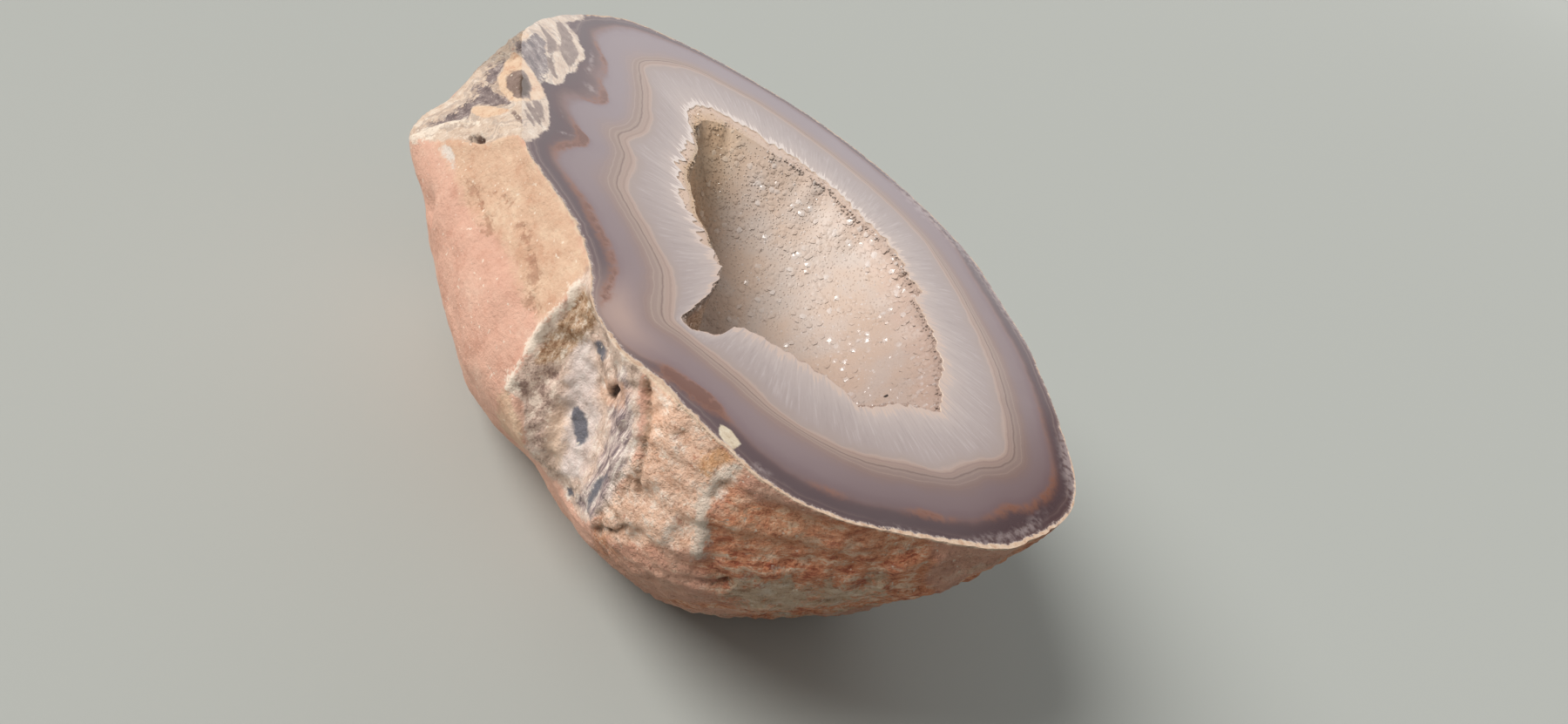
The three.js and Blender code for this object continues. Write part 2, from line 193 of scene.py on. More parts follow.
outsideLevels = [  # height, and the outline there with x and y in turn
    (46, [60, 0, 58.6, 10, 55, 19.5, 50, 25, 42.5, 29.7, 33, 34.5, 23, 38.6, 12, 41, 0, 42.8, -12, 41,
        -24, 36.8, -36, 29.8, -45.5, 21, -54, 10.5, -59.2, 0, -60, -5, -57.5, -15, -54, -22, -48.3, -28.3,
        -41, -35, -34, -40, -26, -41.3, -19, -39.8, -14, -40.2, -2, -39, 8, -40, 16, -43, 24, -42.8,
        29.8, -39.8, 40, -35.5, 47, -31.8, 52.5, -24.5, 56, -15, 58.7, -6]),
    (38, [59.6, -3, 57.8, 6, 54.5, 17, 49, 25, 41, 30, 32, 34.3, 22, 38, 11, 40.8, 0, 42.3, -12, 40.8,
        -24, 36.6, -36, 30, -46, 21, -54.5, 10, -59.4, 0, -59.8, -7, -58, -17, -52, -28, -42.3, -38,
        -37, -42, -31, -43, -20, -43, -8, -42.8, 4, -42.8, 12, -43.2, 20, -43, 27, -42, 33, -40.2,
        40, -37.5, 46, -33.5, 51, -27.5, 55, -19.5, 58.3, -11]),
    (30, [55.5, -5, 55, 6, 52, 16, 46.5, 24.5, 38, 29.5, 29, 33.5, 19, 37, 8, 39.5, -3, 40.5, -14, 39,
        -25, 35, -36, 28, -46, 19, -54, 8.5, -57.5, -2, -57.5, -10, -55, -20, -49.5, -31.5, -44.3, -38.8,
        -39.5, -44.3, -30, -45.2, -18, -46, -5, -46.2, 5, -46, 12, -45, 20, -43.5, 27, -41.5, 33, -40,
        39, -38.5, 44, -36.5, 49, -31, 52.5, -23, 55, -14]),
    (22, [51, -5, 51, 8, 48, 18, 42.5, 26, 34, 31, 24, 34.5, 14, 37, 3, 38, -8, 37.5, -18, 35, -28, 30.5,
        -38, 23.5, -46, 14, -51.5, 4, -53, -6, -51.5, -16, -48, -27, -43.5, -35.5, -37.5, -40.5, -28, -43,
        -18, -44.8, -5, -46.3, 5, -46.3, 12, -45.3, 19, -43, 25, -41, 31, -39.5, 37, -38, 42, -35.5,
        46, -30.5, 49, -22.5, 50.5, -14]),
    (14, [46.5, -2, 47, 8, 45, 17, 39.5, 24.5, 31, 29, 21, 31.5, 10, 33.5, -1, 34, -12, 32.5, -22, 29.5,
        -31, 24.5, -39, 17.5, -44.5, 8.5, -46.5, -2, -46, -12, -43.5, -22, -39.5, -31, -33, -37, -26, -39,
        -13, -40.8, -1, -42.3, 8, -40.8, 17, -37.7, 26.5, -36.2, 33.8, -33.2, 38.6, -29.8, 42.6, -24.7,
        44.8, -15]),
    (6, [41.3, -2, 41.8, 8, 39.5, 16, 33, 22, 25, 25.5, 15, 27.5, 4, 28.5, -6, 27.5, -16, 25, -25, 20.5,
        -32, 14, -36.5, 6, -38, -4, -37.5, -14, -34.5, -23, -29.5, -31, -22, -35, -8, -36.5, 1, -35.3,
        11, -31.6, 20.5, -30.5, 27.5, -27.5, 33.8, -24, 38.2, -18, 40.5, -8]),
    (0, [34, 0, 34, 8, 30, 13.5, 22, 17.5, 11, 19.5, 0, 19.5, -11, 17.5, -20, 13, -26, 6, -28.5, -3,
        -28, -13, -25, -22, -19, -28, -10, -30, 0, -28.5, 10, -25.5, 19.5, -23.5, 27.8, -19.5, 33, -11]),
]

# the lines that part the colours of the face, from the rim inwards: the orange seam, both edges of the tan
# bands, and the crystal edge of the hollow
bandLines = [
    [54.8, 0, 54.3, 3, 53.3, 6, 53.8, 9, 53, 13, 51.5, 17, 48.5, 21, 44, 24, 40, 26.5, 35.5, 29.3, 30, 32,
    24, 34.5, 18, 36, 13, 37.2, 8, 38, 3, 39, -3, 40.3, -9, 40, -15, 39, -20, 36.8, -26, 34, -32, 30.8,
    -38, 26.8, -43, 22, -47, 17.5, -51.5, 11.5, -54.5, 6, -56.5, 0, -56.8, -5, -55, -9.5, -52, -13,
    -48, -14.2, -44, -14.6, -40.5, -16, -37.5, -18.3, -34.5, -18.8, -31.5, -20, -30.5, -22.5, -31, -25,
    -30, -27.3, -27, -28.6, -23, -28.8, -20.5, -28.3, -18.5, -29.5, -17.8, -32, -16.5, -34.5, -14.5, -35.8,
    -10, -35.8, -5, -35, 0, -35.2, 5, -35.5, 9.5, -36.6, 12, -38.5, 14.5, -40.3, 17, -42, 20, -42,
    23, -41.5, 25.5, -39.5, 27, -37, 30, -35, 33, -32.8, 36, -32, 39, -31, 42, -29.8, 45.5, -27, 48, -23.5,
    50, -19.5, 51.7, -15, 52.5, -10.5, 54, -7, 54.7, -3.5],
    [49.5, 0, 49, 3, 48.3, 6, 48.5, 10, 47.8, 13, 46.5, 16, 43.5, 18.8, 40, 21.5, 36, 23.8, 32, 26,
    27, 28.5, 21, 30.5, 14, 32.2, 8, 33.6, 2, 34.5, -4, 34.8, -10, 33.8, -16, 32.2, -20, 30.5, -25, 28,
    -30, 25, -35, 21.5, -40, 17.5, -44, 12.5, -47.5, 8, -49, 4, -49.3, 0, -48.5, -4, -47, -7.5, -44, -9.8,
    -40, -11.2, -36, -13, -32, -15, -28.5, -17, -26, -19.5, -24.5, -22.5, -22.5, -24, -19, -24.5, -16, -26,
    -13, -28, -10, -29.6, -5, -29.9, 0, -30, 5, -30.2, 9, -31, 12.5, -32.6, 15.5, -34.5, 19, -35.5, 22, -33,
    25, -31.3, 29, -29, 34, -26.6, 38, -23.5, 41.5, -20.3, 44, -17.3, 46.3, -13.5, 47.5, -9.5, 48.8, -5],
    [46.3, 0, 45.5, 3, 45, 7, 44.8, 11, 44, 13.5, 41.5, 16, 38, 18.8, 34, 21, 30, 23.3, 25, 25.6, 20, 27.5,
    14, 29.5, 8, 31, 2, 32, -4, 32.8, -10, 31.8, -16, 30, -21, 27.8, -26, 25.3, -31, 22.3, -36, 18.5,
    -40, 14.8, -43.5, 10, -46, 6, -46.5, 3, -46.3, -1, -45.5, -4.5, -44, -6.5, -41, -7.6, -37, -8.6,
    -32, -10.8, -28, -12.7, -25, -14.7, -22.8, -17.5, -21, -20.3, -18.5, -20.8, -15.5, -21.7, -12, -24,
    -9, -26, -5, -26.4, 0, -26.6, 5, -26.8, 9, -27.2, 13, -28.6, 16, -30.2, 18.5, -31.5, 20.5, -30.8,
    23, -29.3, 26, -27.3, 30, -25.3, 34, -23.8, 37.5, -21.3, 40.3, -18, 42.3, -14.5, 43.5, -10.5, 44.8, -6,
    46, -3],
    [34.5, 0, 36, 5.5, 34, 8.5, 31, 10.5, 29, 12.5, 26, 14.8, 22.5, 16, 19.5, 17.8, 15, 18.5, 12, 19.5,
    9.5, 22, 6, 22, 2, 23, -2, 23, -5.5, 22.6, -8.5, 21.4, -12, 20.5, -16, 20, -19, 17.8, -22, 16,
    -25, 13.5, -28, 11, -31, 8.5, -33.5, 6, -35, 3, -35, 0, -33, -3, -29.5, -4.8, -25, -6.5, -21, -9.5,
    -18, -12.5, -14, -14.6, -10, -15.8, -6.5, -17.6, -2, -17, 2, -18, 5, -17.5, 8, -18.5, 10, -20,
    12.5, -22.5, 14.5, -25, 16.5, -28, 18.3, -30.3, 20, -30.2, 21.2, -26.5, 20.8, -24.5, 19.8, -22.5,
    20.3, -20, 22, -18.2, 24.5, -15.5, 26.5, -13.5, 29.5, -11, 32, -9.8, 34.5, -9.2, 35, -6, 34.5, -3],
]

# Marks of the near side. Each is drawn where the camera sees it against the plane of the face, and goes to
# the place of the outside that lies behind it.
marks = {
    "veined": [-59, -12.5, -56.5, -13.5, -55, -16, -54.2, -17.9, -50, -17.4, -46, -17.9, -43, -19, -41, -21,
        -38.5, -22.5, -37.5, -24.5, -34.8, -26.5, -33.8, -28, -34, -30, -33, -31.3, -30, -31.2, -27, -32,
        -24, -33, -21, -34.5, -20, -36, -18.5, -37.2, -17, -39.8, -18.7, -40.3, -19.7, -44, -19.2, -49,
        -17, -53, -14, -57, -20, -62, -60, -42, -75, -20],
    "yellow": [-19, -40, -12, -39.5, -2, -38.5, 8, -39.5, 12, -42, 15, -45.8, 18, -49, 20, -51.5, 17, -52.6,
        12, -52.3, 6, -51.5, 2, -53.4, -3, -54, -8, -53.6, -14, -54, -17, -53.5, -19.5, -49],
    "scoop": [9, -40.5, 12, -43.8, 15, -45.8, 18, -49, 20.5, -51.5, 23, -54, 26, -56, 28.5, -58.5,
        30.5, -60, 33, -59.5, 36, -60.2, 39, -61.2, 41, -60.6, 44, -59.6, 47, -59.2, 49.5, -58.3, 49, -56.5,
        46.5, -53.5, 43.5, -50.5, 40.5, -48, 37.5, -46, 35, -44.8, 32, -43.8, 29.5, -42.4, 28.3, -41,
        20, -38],
    "scoopBrown": [13, -43.2, 17, -42.6, 21, -45, 23.5, -48.5, 26, -51.5, 28, -54, 26, -55.3, 23, -53,
        20, -50, 17, -47],
    "scoopCore": [21, -46.5, 25, -47, 30, -48.5, 35, -50.5, 40, -53.5, 44, -56.5, 43, -58.5, 39, -57.5,
        34, -54.5, 29, -52, 24, -49.5],
    "scoopPeach": [33, -54.2, 36, -55.2, 40, -57, 42, -59, 39, -58.6, 35, -56.8],
    "scoopStreaks": [27, -43.2, 33, -45, 38, -47.3, 42, -50.2, 46, -53.8, 49.3, -57.5, 47, -58.6, 43.5, -55,
        39.5, -51.6, 34, -48.6, 30, -46.6],
    "scoopBlotches": [26.5, -52.5, 31, -53.8, 35, -56.2, 40, -59, 39, -60.8, 34, -59.6, 30, -59,
        27.5, -56.5],
    "bulge": [28.6, -40.5, 31, -38.8, 34, -37.6, 38, -36.4, 42, -35.2, 45, -34, 46.5, -38, 49, -42, 52, -44,
        54.8, -46, 54, -50, 53, -54, 51, -57.8, 49, -57, 45, -52, 41, -48, 37, -45.2, 33, -43, 29.5, -42],
    "orange": [40.5, -35.5, 42.7, -35, 43.8, -37.5, 44.8, -40, 43, -40.6, 41.5, -39],
    "layers": [56, -12, 60, -3, 70, -4, 70, -50, 61, -52, 57.5, -50, 54.5, -46, 55.5, -38, 57, -28,
        57.5, -18],
    "green": [59, -37, 62.5, -34, 63.8, -39, 62, -45, 59.6, -46.5, 58.8, -42],
    "greenUpper": [61.2, -23, 63.5, -24, 64.3, -32, 62.5, -36.5, 61.2, -33, 61.6, -28],
    "lowerPatch": [30.5, -60.2, 36, -60.4, 40, -61.6, 37.5, -63.4, 34.5, -62.8, 31.5, -61.6],
}
spots = {
    "slate": [
        [33.5, -52.5, 34.5, -52, 37, -52.6, 39, -53.8, 39.2, -55, 37.5, -54.8, 35, -54, 33.8, -53.6],
        [22.7, -45.2, 24.5, -44.9, 26.3, -45.8, 25, -46.5, 23.3, -46.2],
        [44.9, -58.2, 46.2, -58.3, 46, -59, 45, -59],
        [43.5, -53, 46, -55.5, 48.3, -57.6, 46.5, -56.9, 44, -54.6]],
    "shadowedHole": [
        [30.3, -45.9, 31, -46, 32.6, -47.5, 32.4, -48, 31.4, -47.4, 30.6, -46.8],
        [-16.9, -47.8, -17.7, -46.8, -16.8, -46.6, -15.6, -47.1, -15.3, -48.2],
        [-17, -48.9, -16.8, -48.4, -15.5, -48.5, -15.2, -49, -16.1, -49.1],
        [58.6, -44.9, 59.2, -44.6, 59.2, -46, 58.8, -46.2]],
    "brownLens": [
        [-54, -19, -52.5, -18.6, -50, -18.6, -47.5, -19.2, -45.5, -19.2, -43.5, -19.9, -42, -21.2,
         -40.5, -22.3, -39.5, -23.2, -42.5, -23.3, -45, -22.8, -47, -21.6, -49, -21, -51.5, -20.6,
         -53.5, -20],
        [-51.5, -23.9, -49, -23.1, -46.5, -22.7, -44.5, -23.6, -43, -25, -40.5, -26, -38, -26.5, -35.5, -27,
         -36, -27.4, -39, -27.3, -42, -26.3, -45, -25, -47.5, -24.2, -50, -24.2],
        [-35.4, -35.3, -36.3, -32.8, -35, -32.6, -32.1, -32.9, -28.7, -34.7, -28.2, -36.6, -28.6, -37.4,
         -30.9, -37.6, -33.7, -36.7],
        [-28.1, -34.5, -28.6, -32.9, -26, -33.3, -22.9, -34.4, -23.3, -34.7, -25.3, -34.6],
        [-27.3, -35.9, -27.7, -35.3, -26.1, -35, -24, -34.8, -21.5, -35.3, -23, -35.8],
        [-25.5, -36.6, -23.5, -36.1, -21.5, -36.6, -23.5, -37],
        [-24.4, -39.4, -25.1, -38.5, -23.3, -38.2, -21.7, -38.3, -22.1, -38.9, -23.4, -39.4]],
    "darkCore": [
        [-34.4, -34.3, -35.1, -33.3, -33.8, -33.1, -32, -33.3, -29.3, -34.8, -28.5, -36.2, -31, -35.6]],
    "peach": [
        [-41.3, -32.7, -40.4, -31.7, -38.1, -31.3, -35.2, -31, -32.1, -31.1, -30.1, -31.3, -28.8, -32.7,
         -28, -34.7, -27.6, -36.3, -27.1, -38.4, -28.4, -38.8, -30.3, -39, -33.1, -38.4, -35.1, -36.8,
         -38.1, -35.1],
        [-24, -45.7, -24.9, -43.8, -24.9, -41.4, -24.7, -39.3, -23.7, -40.8, -22.8, -42.2, -21.8, -44.1,
         -22, -45.6, -22.7, -46.1],
        [-47.2, -29.3, -49.4, -27.1, -48.3, -26.7, -46.1, -28.3, -45.1, -29.9]],
    "mauve": [
        [-18.2, -53.4, -20.9, -50.5, -23, -48.1, -24.8, -45.7, -29.1, -43.1, -30.7, -41.8, -29.7, -40.8,
         -28.1, -40.2, -27.7, -38.8, -26.5, -38.7, -25.4, -41.2, -24.5, -45.3, -22.2, -46.6, -20.5, -47.4,
         -19.9, -49.9, -18.1, -52.9, -16.2, -55],
        [-34.4, -39.1, -36.1, -37.3, -39.5, -35, -38.6, -35, -35.9, -36.6, -32.7, -38.9, -31.1, -40,
         -31.8, -40.5],
        [-44.6, -31, -44.1, -30.3, -45, -28.8, -48.2, -26.3, -47.9, -25.5, -46.3, -25.3, -44.6, -25.6,
         -41, -26.7, -37.4, -28.3, -35.2, -29.6, -33.8, -29.8, -33.6, -31.4, -36.7, -31.2, -39.2, -31.2,
         -41.4, -31.4, -42.1, -32.1]],
    "groove": [
        [-13.2, -53.8, -13.7, -52.7, -12.7, -52.3, -10.5, -52.8, -8.4, -53.7, -10.3, -53.7, -11.7, -53.9]],
}
lineMarks = {  # half the width, and the lines
    "seam": (0.45, [
        [-3.6, -48.2, -2.8, -47.8],
        [2, -47.6, 5, -48.2, 8.5, -48.8, 12, -49.6],
        [-6, -51.8, -3, -52, 0, -52.2, 3.5, -52.8],
        [12, -50.2, 15, -51.2, 18, -52.4]]),
    "shadowedCrease": (0.35, [
        [29.5, -41.2, 32, -42.6, 36.5, -44.4, 41, -47.3, 44.5, -49.6, 46.5, -50.6],
        [50.3, -53.5, 51.2, -55.5, 50.6, -57.6]]),
    "ridge": (0.45, [
        [12.5, -43.6, 16, -46.6, 19, -50.2, 22, -53, 25, -55.6, 28, -58, 30.5, -60],
        [-20.6, -46.5, -19.3, -50, -16.9, -53.8, -14.2, -57]]),
    "stripe": (0.75, [
        [43.6, -35.2, 45, -38.6, 46.8, -41.4, 49.5, -43.4, 53, -44.9, 54.7, -47]]),
}
markRelief = [  # how far a mark presses the outside in, or raises it below 0, and how soft its edge is
    ("brownLens", 0.5, 0.5), ("mauve", 0.3, 0.5), ("darkCore", 0.5, 0.5), ("shadowedHole", 1.2, 0.6),
    ("shadowedCrease", 0.7, 0.7), ("ridge", -0.45, 0.8), ("groove", 0.3, 0.6), ("stripe", -0.25, 0.8),
]
pits = [  # place, reach and depth
    ((-33, -36.5, 42.5), 4.5, 2.4), ((25, -39.5, 37), 4, 1.6), ((-25, -45, 27), 4, 1.2),
]
facetNormal = np.array([-0.285, -0.752, 0.592])  # the slanted plane of the near left corner
facetDistance = 62.5


def markDepths(seen):
    # how far inside each mark a place is seen, in millimetres, and negative outside it
    depths = {name: insideDepth(seen, outline) for name, outline in marks.items()}
    depths["green"] = np.maximum(depths.pop("greenUpper"), depths["green"])
    for name, outlines in spots.items():
        depths[name] = np.max([insideDepth(seen, outline) for outline in outlines], 0)
    for name, (width, lines) in lineMarks.items():
        lines = [np.array(line, float).reshape(-1, 2) for line in lines]
        depths[name] = width - np.min([sidesDistance(seen, a[:-1], np.diff(a, axis=0)) for a in lines], 0)
    return depths


def outsideDistance(angles, heights):
    # a Hermite curve through the levels at each angle, whose slope at a level is the mean slope round it
    tops = np.array([level[0] for level in outsideLevels], float)
    rings = np.array([starDistance(level[1], angles) for level in outsideLevels])
    upper = np.clip(np.searchsorted(-tops, -heights, side="right") - 1, 0, len(tops) - 2)
    before = np.maximum(np.arange(len(tops)) - 1, 0)
    behind = np.minimum(np.arange(len(tops)) + 1, len(tops) - 1)
    slopes = (rings[behind] - rings[before]) / (tops[behind] - tops[before])[:, None]
    span = (tops[upper + 1] - tops[upper])[:, None]
    t = (heights - tops[upper])[:, None] / span
    bow = slopes[upper] * span * t * (1 - t) ** 2 - slopes[upper + 1] * span * t * t * (1 - t)
    return rings[upper] * (1 - smoothStep(t)) + rings[upper + 1] * smoothStep(t) + bow


def facetReach(angles, heights):
    # distance at which a ray from the star's middle meets the slanted plane
    normal = facetNormal / np.linalg.norm(facetNormal)
    lean = normal[0] * np.cos(angles) + normal[1] * np.sin(angles)
    start = normal[:2] @ starMiddle + normal[2] * heights
    return np.where(lean > 0.01, (facetDistance - start)[:, None] / np.where(lean > 0.01, lean, 1), 1e3)


def inLayers(p):
    # the height becomes the height above the crust's slanting layers
    return np.concatenate([p[..., :2], p @ np.array(layerTilt)[:, None]], -1)


def broadRelief(p):
    # how far lumps, chips, ledges, pits and the scoop press the outside in
    lumps = stone["lumps"] * (field(p / 13 + 7) - 0.6)
    chips = stone["chips"] * (field(p / 5.5) - 0.5)
    turn = np.arctan2(p[..., 1] - starMiddle[1], p[..., 0] - starMiddle[0])
    aside = np.abs(turn - stone["ledgeSide"]) / stone["ledgeReach"]
    layer = inLayers(p)[..., 2] / 6 + 0.8 * field(withThird(p[..., :2] / 20, 3.0))
    rest = layer - np.floor(layer)
    ledges = stone["ledges"] * smoothStep(rest / 0.8) * smoothStep((1 - rest) / 0.2)
    ledges = ledges * np.clip(2 - 2 * aside, 0, 1)
    pitted = np.zeros(p.shape[:-1])
    for at, reach, depth in pits:
        pitted = np.maximum(pitted, depth * smoothStep(1 - np.linalg.norm(p - at, axis=-1) / reach))
    fromScoop = p - scoopForm["middle"]
    along, across = (fromScoop @ np.array(direction) / reach
                     for direction, reach in (scoopForm["along"], scoopForm["across"]))
    scooped = scoopForm["depth"] * np.maximum(0, 1 - along ** 2 - across ** 2)
    fade = np.clip(np.minimum(faceHeight - p[..., 2], p[..., 2]) / 3, 0, 1)
    return fade * (lumps + chips + ledges + scooped + pitted)


def seenAgainstFace(p):
    # where the camera's line of sight through a place meets the plane of the face
    share = (faceHeight - eyePlace[2]) / (p[..., 2] - eyePlace[2])
    return (eyePlace + (p - eyePlace) * share[..., None])[..., :2]


def unit(vectors):
    # the same directions with a length of 1
    return vectors / np.maximum(np.linalg.norm(vectors, axis=-1, keepdims=True), 1e-12)


def gridNormals(grid):
    # the cross product of the steps along a closed ring and from ring to ring
    return unit(np.cross(np.roll(grid, -1, 1) - np.roll(grid, 1, 1), np.gradient(grid, axis=0)))


def bump(depth, width):
    # 1 well inside a mark and 0 outside it, over a soft edge
    return smoothStep(depth / width + 0.5)


def outsideShape(angles):
    # the rough outside from the resting patch up to the rim, with the depths of its marks
    trial = np.linspace(0, faceHeight, 300)
    mean = outsideDistance(angles, trial).mean(1)
    run = np.concatenate([[0], np.cumsum(np.hypot(np.diff(mean), np.diff(trial)))])
    heights = np.interp(np.linspace(0, run[-1], stone["outsideRows"]), run, trial)
    plain = outsideDistance(angles, heights)
    facet = facetReach(angles, heights)
    cut = np.minimum(plain, facet)
    whole = starPlace(angles, cut, heights[:, None])
    cut = cut - broadRelief(whole)
    base = starPlace(angles, cut, heights[:, None])

    # marks are only drawn on what faces the camera
    facing = smoothStep(((gridNormals(whole) * unit(eyePlace - whole)).sum(-1) + 0.1) / 0.14)
    masks = {name: depth - 8 * (1 - facing) for name, depth in markDepths(seenAgainstFace(base)).items()}
    aside = np.abs((angles - stone["pinkSide"] + math.pi) % (2 * math.pi) - math.pi)
    masks["pink"] = 45 * (stone["pinkReach"] - aside) + np.zeros_like(cut)
    masks["veined"] = np.maximum(masks["veined"], np.clip((plain - facet) * 0.8 - 0.3, -8, 2))
    inside = {name: bump(masks[name], 1) for name in ("scoop", "bulge")}

    # the fine relief: grain of the broken stone, the skin's unevenness, thin layers, and the marks
    smooth = np.maximum(bump(masks["pink"], 3), bump(masks["yellow"], 2))
    smooth = smooth * (1 - inside["scoop"]) * (1 - inside["bulge"])
    fine = 0.8 * (ridged(base / 4.6 + 2) - 0.6) + 0.5 * (ridged(base / 2.3) - 0.6)
    fine = fine + 0.9 * (field(base / 1.1) - 0.5) + 0.5 * (field(base / 0.6) - 0.5)
    fine = fine * (1 - smooth) * stone["crumb"]
    broken = 0.45 * smoothStep(5 * field(base / 3.4 + 6) - 2) + 0.2 * smoothStep(5 * field(base / 1.5) - 2)
    fine += inside["bulge"] * (broken - 0.3)
    skin = ridged(base / 6.5 + 4) + field(base / 2.6) + 0.5 * field(base / 1.1)
    fine += smooth * stone["skin"] * (skin - 1.3)
    layers = inLayers(base)
    sheets = stone["sheets"] * (field(layers / (8, 8, 0.9)) - 0.5)
    steps = stone["steps"] * (smoothStep(4 * field(layers / (9, 9, 2.6) + 1) - 1.6) - 0.5)
    layered = np.clip(masks["layers"] / 3 + 0.5, 0, 1)
    fine += (1 - smooth) * (0.25 + 0.75 * layered) * (sheets + steps)
    fine += inside["scoop"] * (0.7 * (ridged(base / 3.2 + 3) - 0.6) + 0.4 * (field(base / 1.3) - 0.5))
    for name, depth, softness in markRelief:
        fine += depth * bump(masks[name], softness)
    fine += 0.4 * bump(masks["seam"], 0.5) * (field(base / 0.8) > 0.4)
    fine *= np.clip(np.minimum(faceHeight - base[..., 2], base[..., 2]) / 2, 0, 1)
    chipped = stone["rimChips"] * smoothStep(1 - (faceHeight - base[..., 2]) / 1.4)
    fine += chipped * np.maximum(0, field(base / 1.7 + 5) + 0.6 * field(base / 0.7) - 0.75)
    distance = cut - fine
    return starPlace(angles, distance, heights[:, None]), distance, masks


def mouthDistance(angles):
    # the crystal edge of the hollow, disturbed by coarse and fine teeth
    plain = starDistance(bandLines[3], angles)
    foot = starPlace(angles, plain, 0.0)
    long = stone["mouthTeeth"] * (1 + 0.9 * smoothStep(0.5 - 0.8 * np.cos(angles)))
    return plain + long * (field(foot / 1.1 + 11) + 0.6 * field(foot / 0.6 + 2) - 0.8)


def calmDistance(angles):
    # the same edge without its notches: a Hann window averages it over 45 degrees to both sides
    turns = np.arange(360) * math.pi / 180
    window = np.hanning(91)[1:-1] / np.hanning(91).sum()
    plain = starDistance(bandLines[3], turns)
    calm = np.convolve(np.concatenate([plain[-44:], plain, plain[:44]]), window, "valid")
    return np.interp(angles, turns, calm, period=2 * math.pi)


def hollowPlace(angles, mouth, share, back):
    # from the mouth's edge towards the bottom in plan, losing first the teeth and then the notches on the
    # way down: a gentle shoulder inside the edge, then sinking as a quarter wave to a power
    form = hollowForm
    plain = starDistance(bandLines[3], angles)
    reach = plain + (calmDistance(angles) - plain) * smoothStep(share / form["notchesGone"])
    reach = reach + (mouth - plain) * (1 - smoothStep(share / form["teethGone"])) + back
    edge = starPlace(angles, plain + back, 0.0)[..., :2]
    start = starPlace(angles, reach, 0.0)[..., :2]
    plan = start + (hollowBottom - start) * share[..., None]
    swell = form["swell"] * (field(withThird(plan / 9, 5.0)) - 0.5) * np.sin(share * math.pi)
    uneven = 0.5 * (field(withThird(edge / 1.9, 2.0)) - 0.5)
    uneven = uneven * (1 - smoothStep(share / form["shoulderEven"]))
    wide = np.interp(np.degrees(angles), *shoulder, period=360)
    wide = wide * (1 + uneven) / np.linalg.norm(hollowBottom - edge, axis=-1)
    sunk = np.clip((share - wide) / (1 - wide), 0, 1)
    depth = (form["depth"] + back) * np.sin(sunk * math.pi / 2) ** form["steepness"] - swell
    depth += form["ledge"] * smoothStep(share / wide) * (1 - sunk)
    return np.concatenate([plan, (faceHeight - depth)[..., None]], -1)


def faceShape(angles, rim):
    # flat rings between the rim and the lines of the bands, numbered 0 at the rim to 4 at the hollow's edge
    lines = [rim]
    for outline, least in zip(bandLines, stone["bandLeast"]):
        lines.append(np.minimum(starDistance(outline, angles), lines[-1] - least))
    foot = starPlace(angles, lines[3], 0.0)
    lines[4] = np.minimum(mouthDistance(angles), lines[3] - 1)
    distances, bands = [], []
    for number, rows in enumerate(stone["bandRows"]):
        for t in (np.arange(rows) + 1) / rows:
            distances.append(lines[number] * (1 - t) + lines[number + 1] * t)
            bands.append(number + t)
    distances = np.array(distances)
    bands = np.array(bands)[:, None] + np.zeros_like(distances)
    return starPlace(angles, distances, faceHeight), distances, bands, lines, foot


# A mesh of rings, closed by a middle point at both ends

def ringFaces(rows, columns):
    # squares between neighbouring rings, and fans of triangles at both ends
    here = np.arange(columns)
    beside = np.roll(here, -1)
    start = (np.arange(rows - 1) * columns)[:, None]
    squares = np.stack([start + here, start + beside, start + columns + beside, start + columns + here], -1)
    first, top = rows * columns, (rows - 1) * columns
    bottom = np.stack([np.full(columns, first), beside, here], -1)
    end = np.stack([np.full(columns, first + 1), top + here, top + beside], -1)
    return squares.reshape(-1, 4).tolist() + bottom.tolist() + end.tolist()


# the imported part's rim tells how far its frame lies from the drawing's
packed = np.empty(len(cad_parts["stone"].data.vertices) * 3, np.float32)
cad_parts["stone"].data.vertices.foreach_get("co", packed)
packed = packed.reshape(-1, 3) * 1000
packedRim = packed[packed[:, 2] > faceHeight - 0.1].max(0)
shift = np.array([packedRim[0] - 60.0, packedRim[1] - 42.8, 0.0])
lowCorner, highCorner = (np.array(corner) for corner in cadBox)


def makePiece(name, places, faces, node):
    # places in the drawing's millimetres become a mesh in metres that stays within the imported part's box
    metres = np.clip((places + shift) / 1000, lowCorner, highCorner)
    mesh = bpy.data.meshes.new(name)
    mesh.from_pydata(metres.tolist(), [], faces)
    piece = bpy.data.objects.new(name, mesh)
    bpy.context.scene.collection.objects.link(piece)
    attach(piece, "root")
    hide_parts(node)
    return piece


def giveNumbers(piece, name, values):
    # one number, or one direction, for every vertex
    kind, key = ("FLOAT", "value") if values.ndim == 1 else ("FLOAT_VECTOR", "vector")
    made = piece.data.attributes.new(name, kind, "POINT")
    made.data.foreach_set(key, values.astype(np.float32).ravel())


def columnAngles():
    # all round, and closer together on the crowded side
    angles = np.linspace(0, 2 * math.pi, stone["columns"], endpoint=False)
    return angles - stone["crowding"] * np.sin(angles - stone["crowdedSide"])
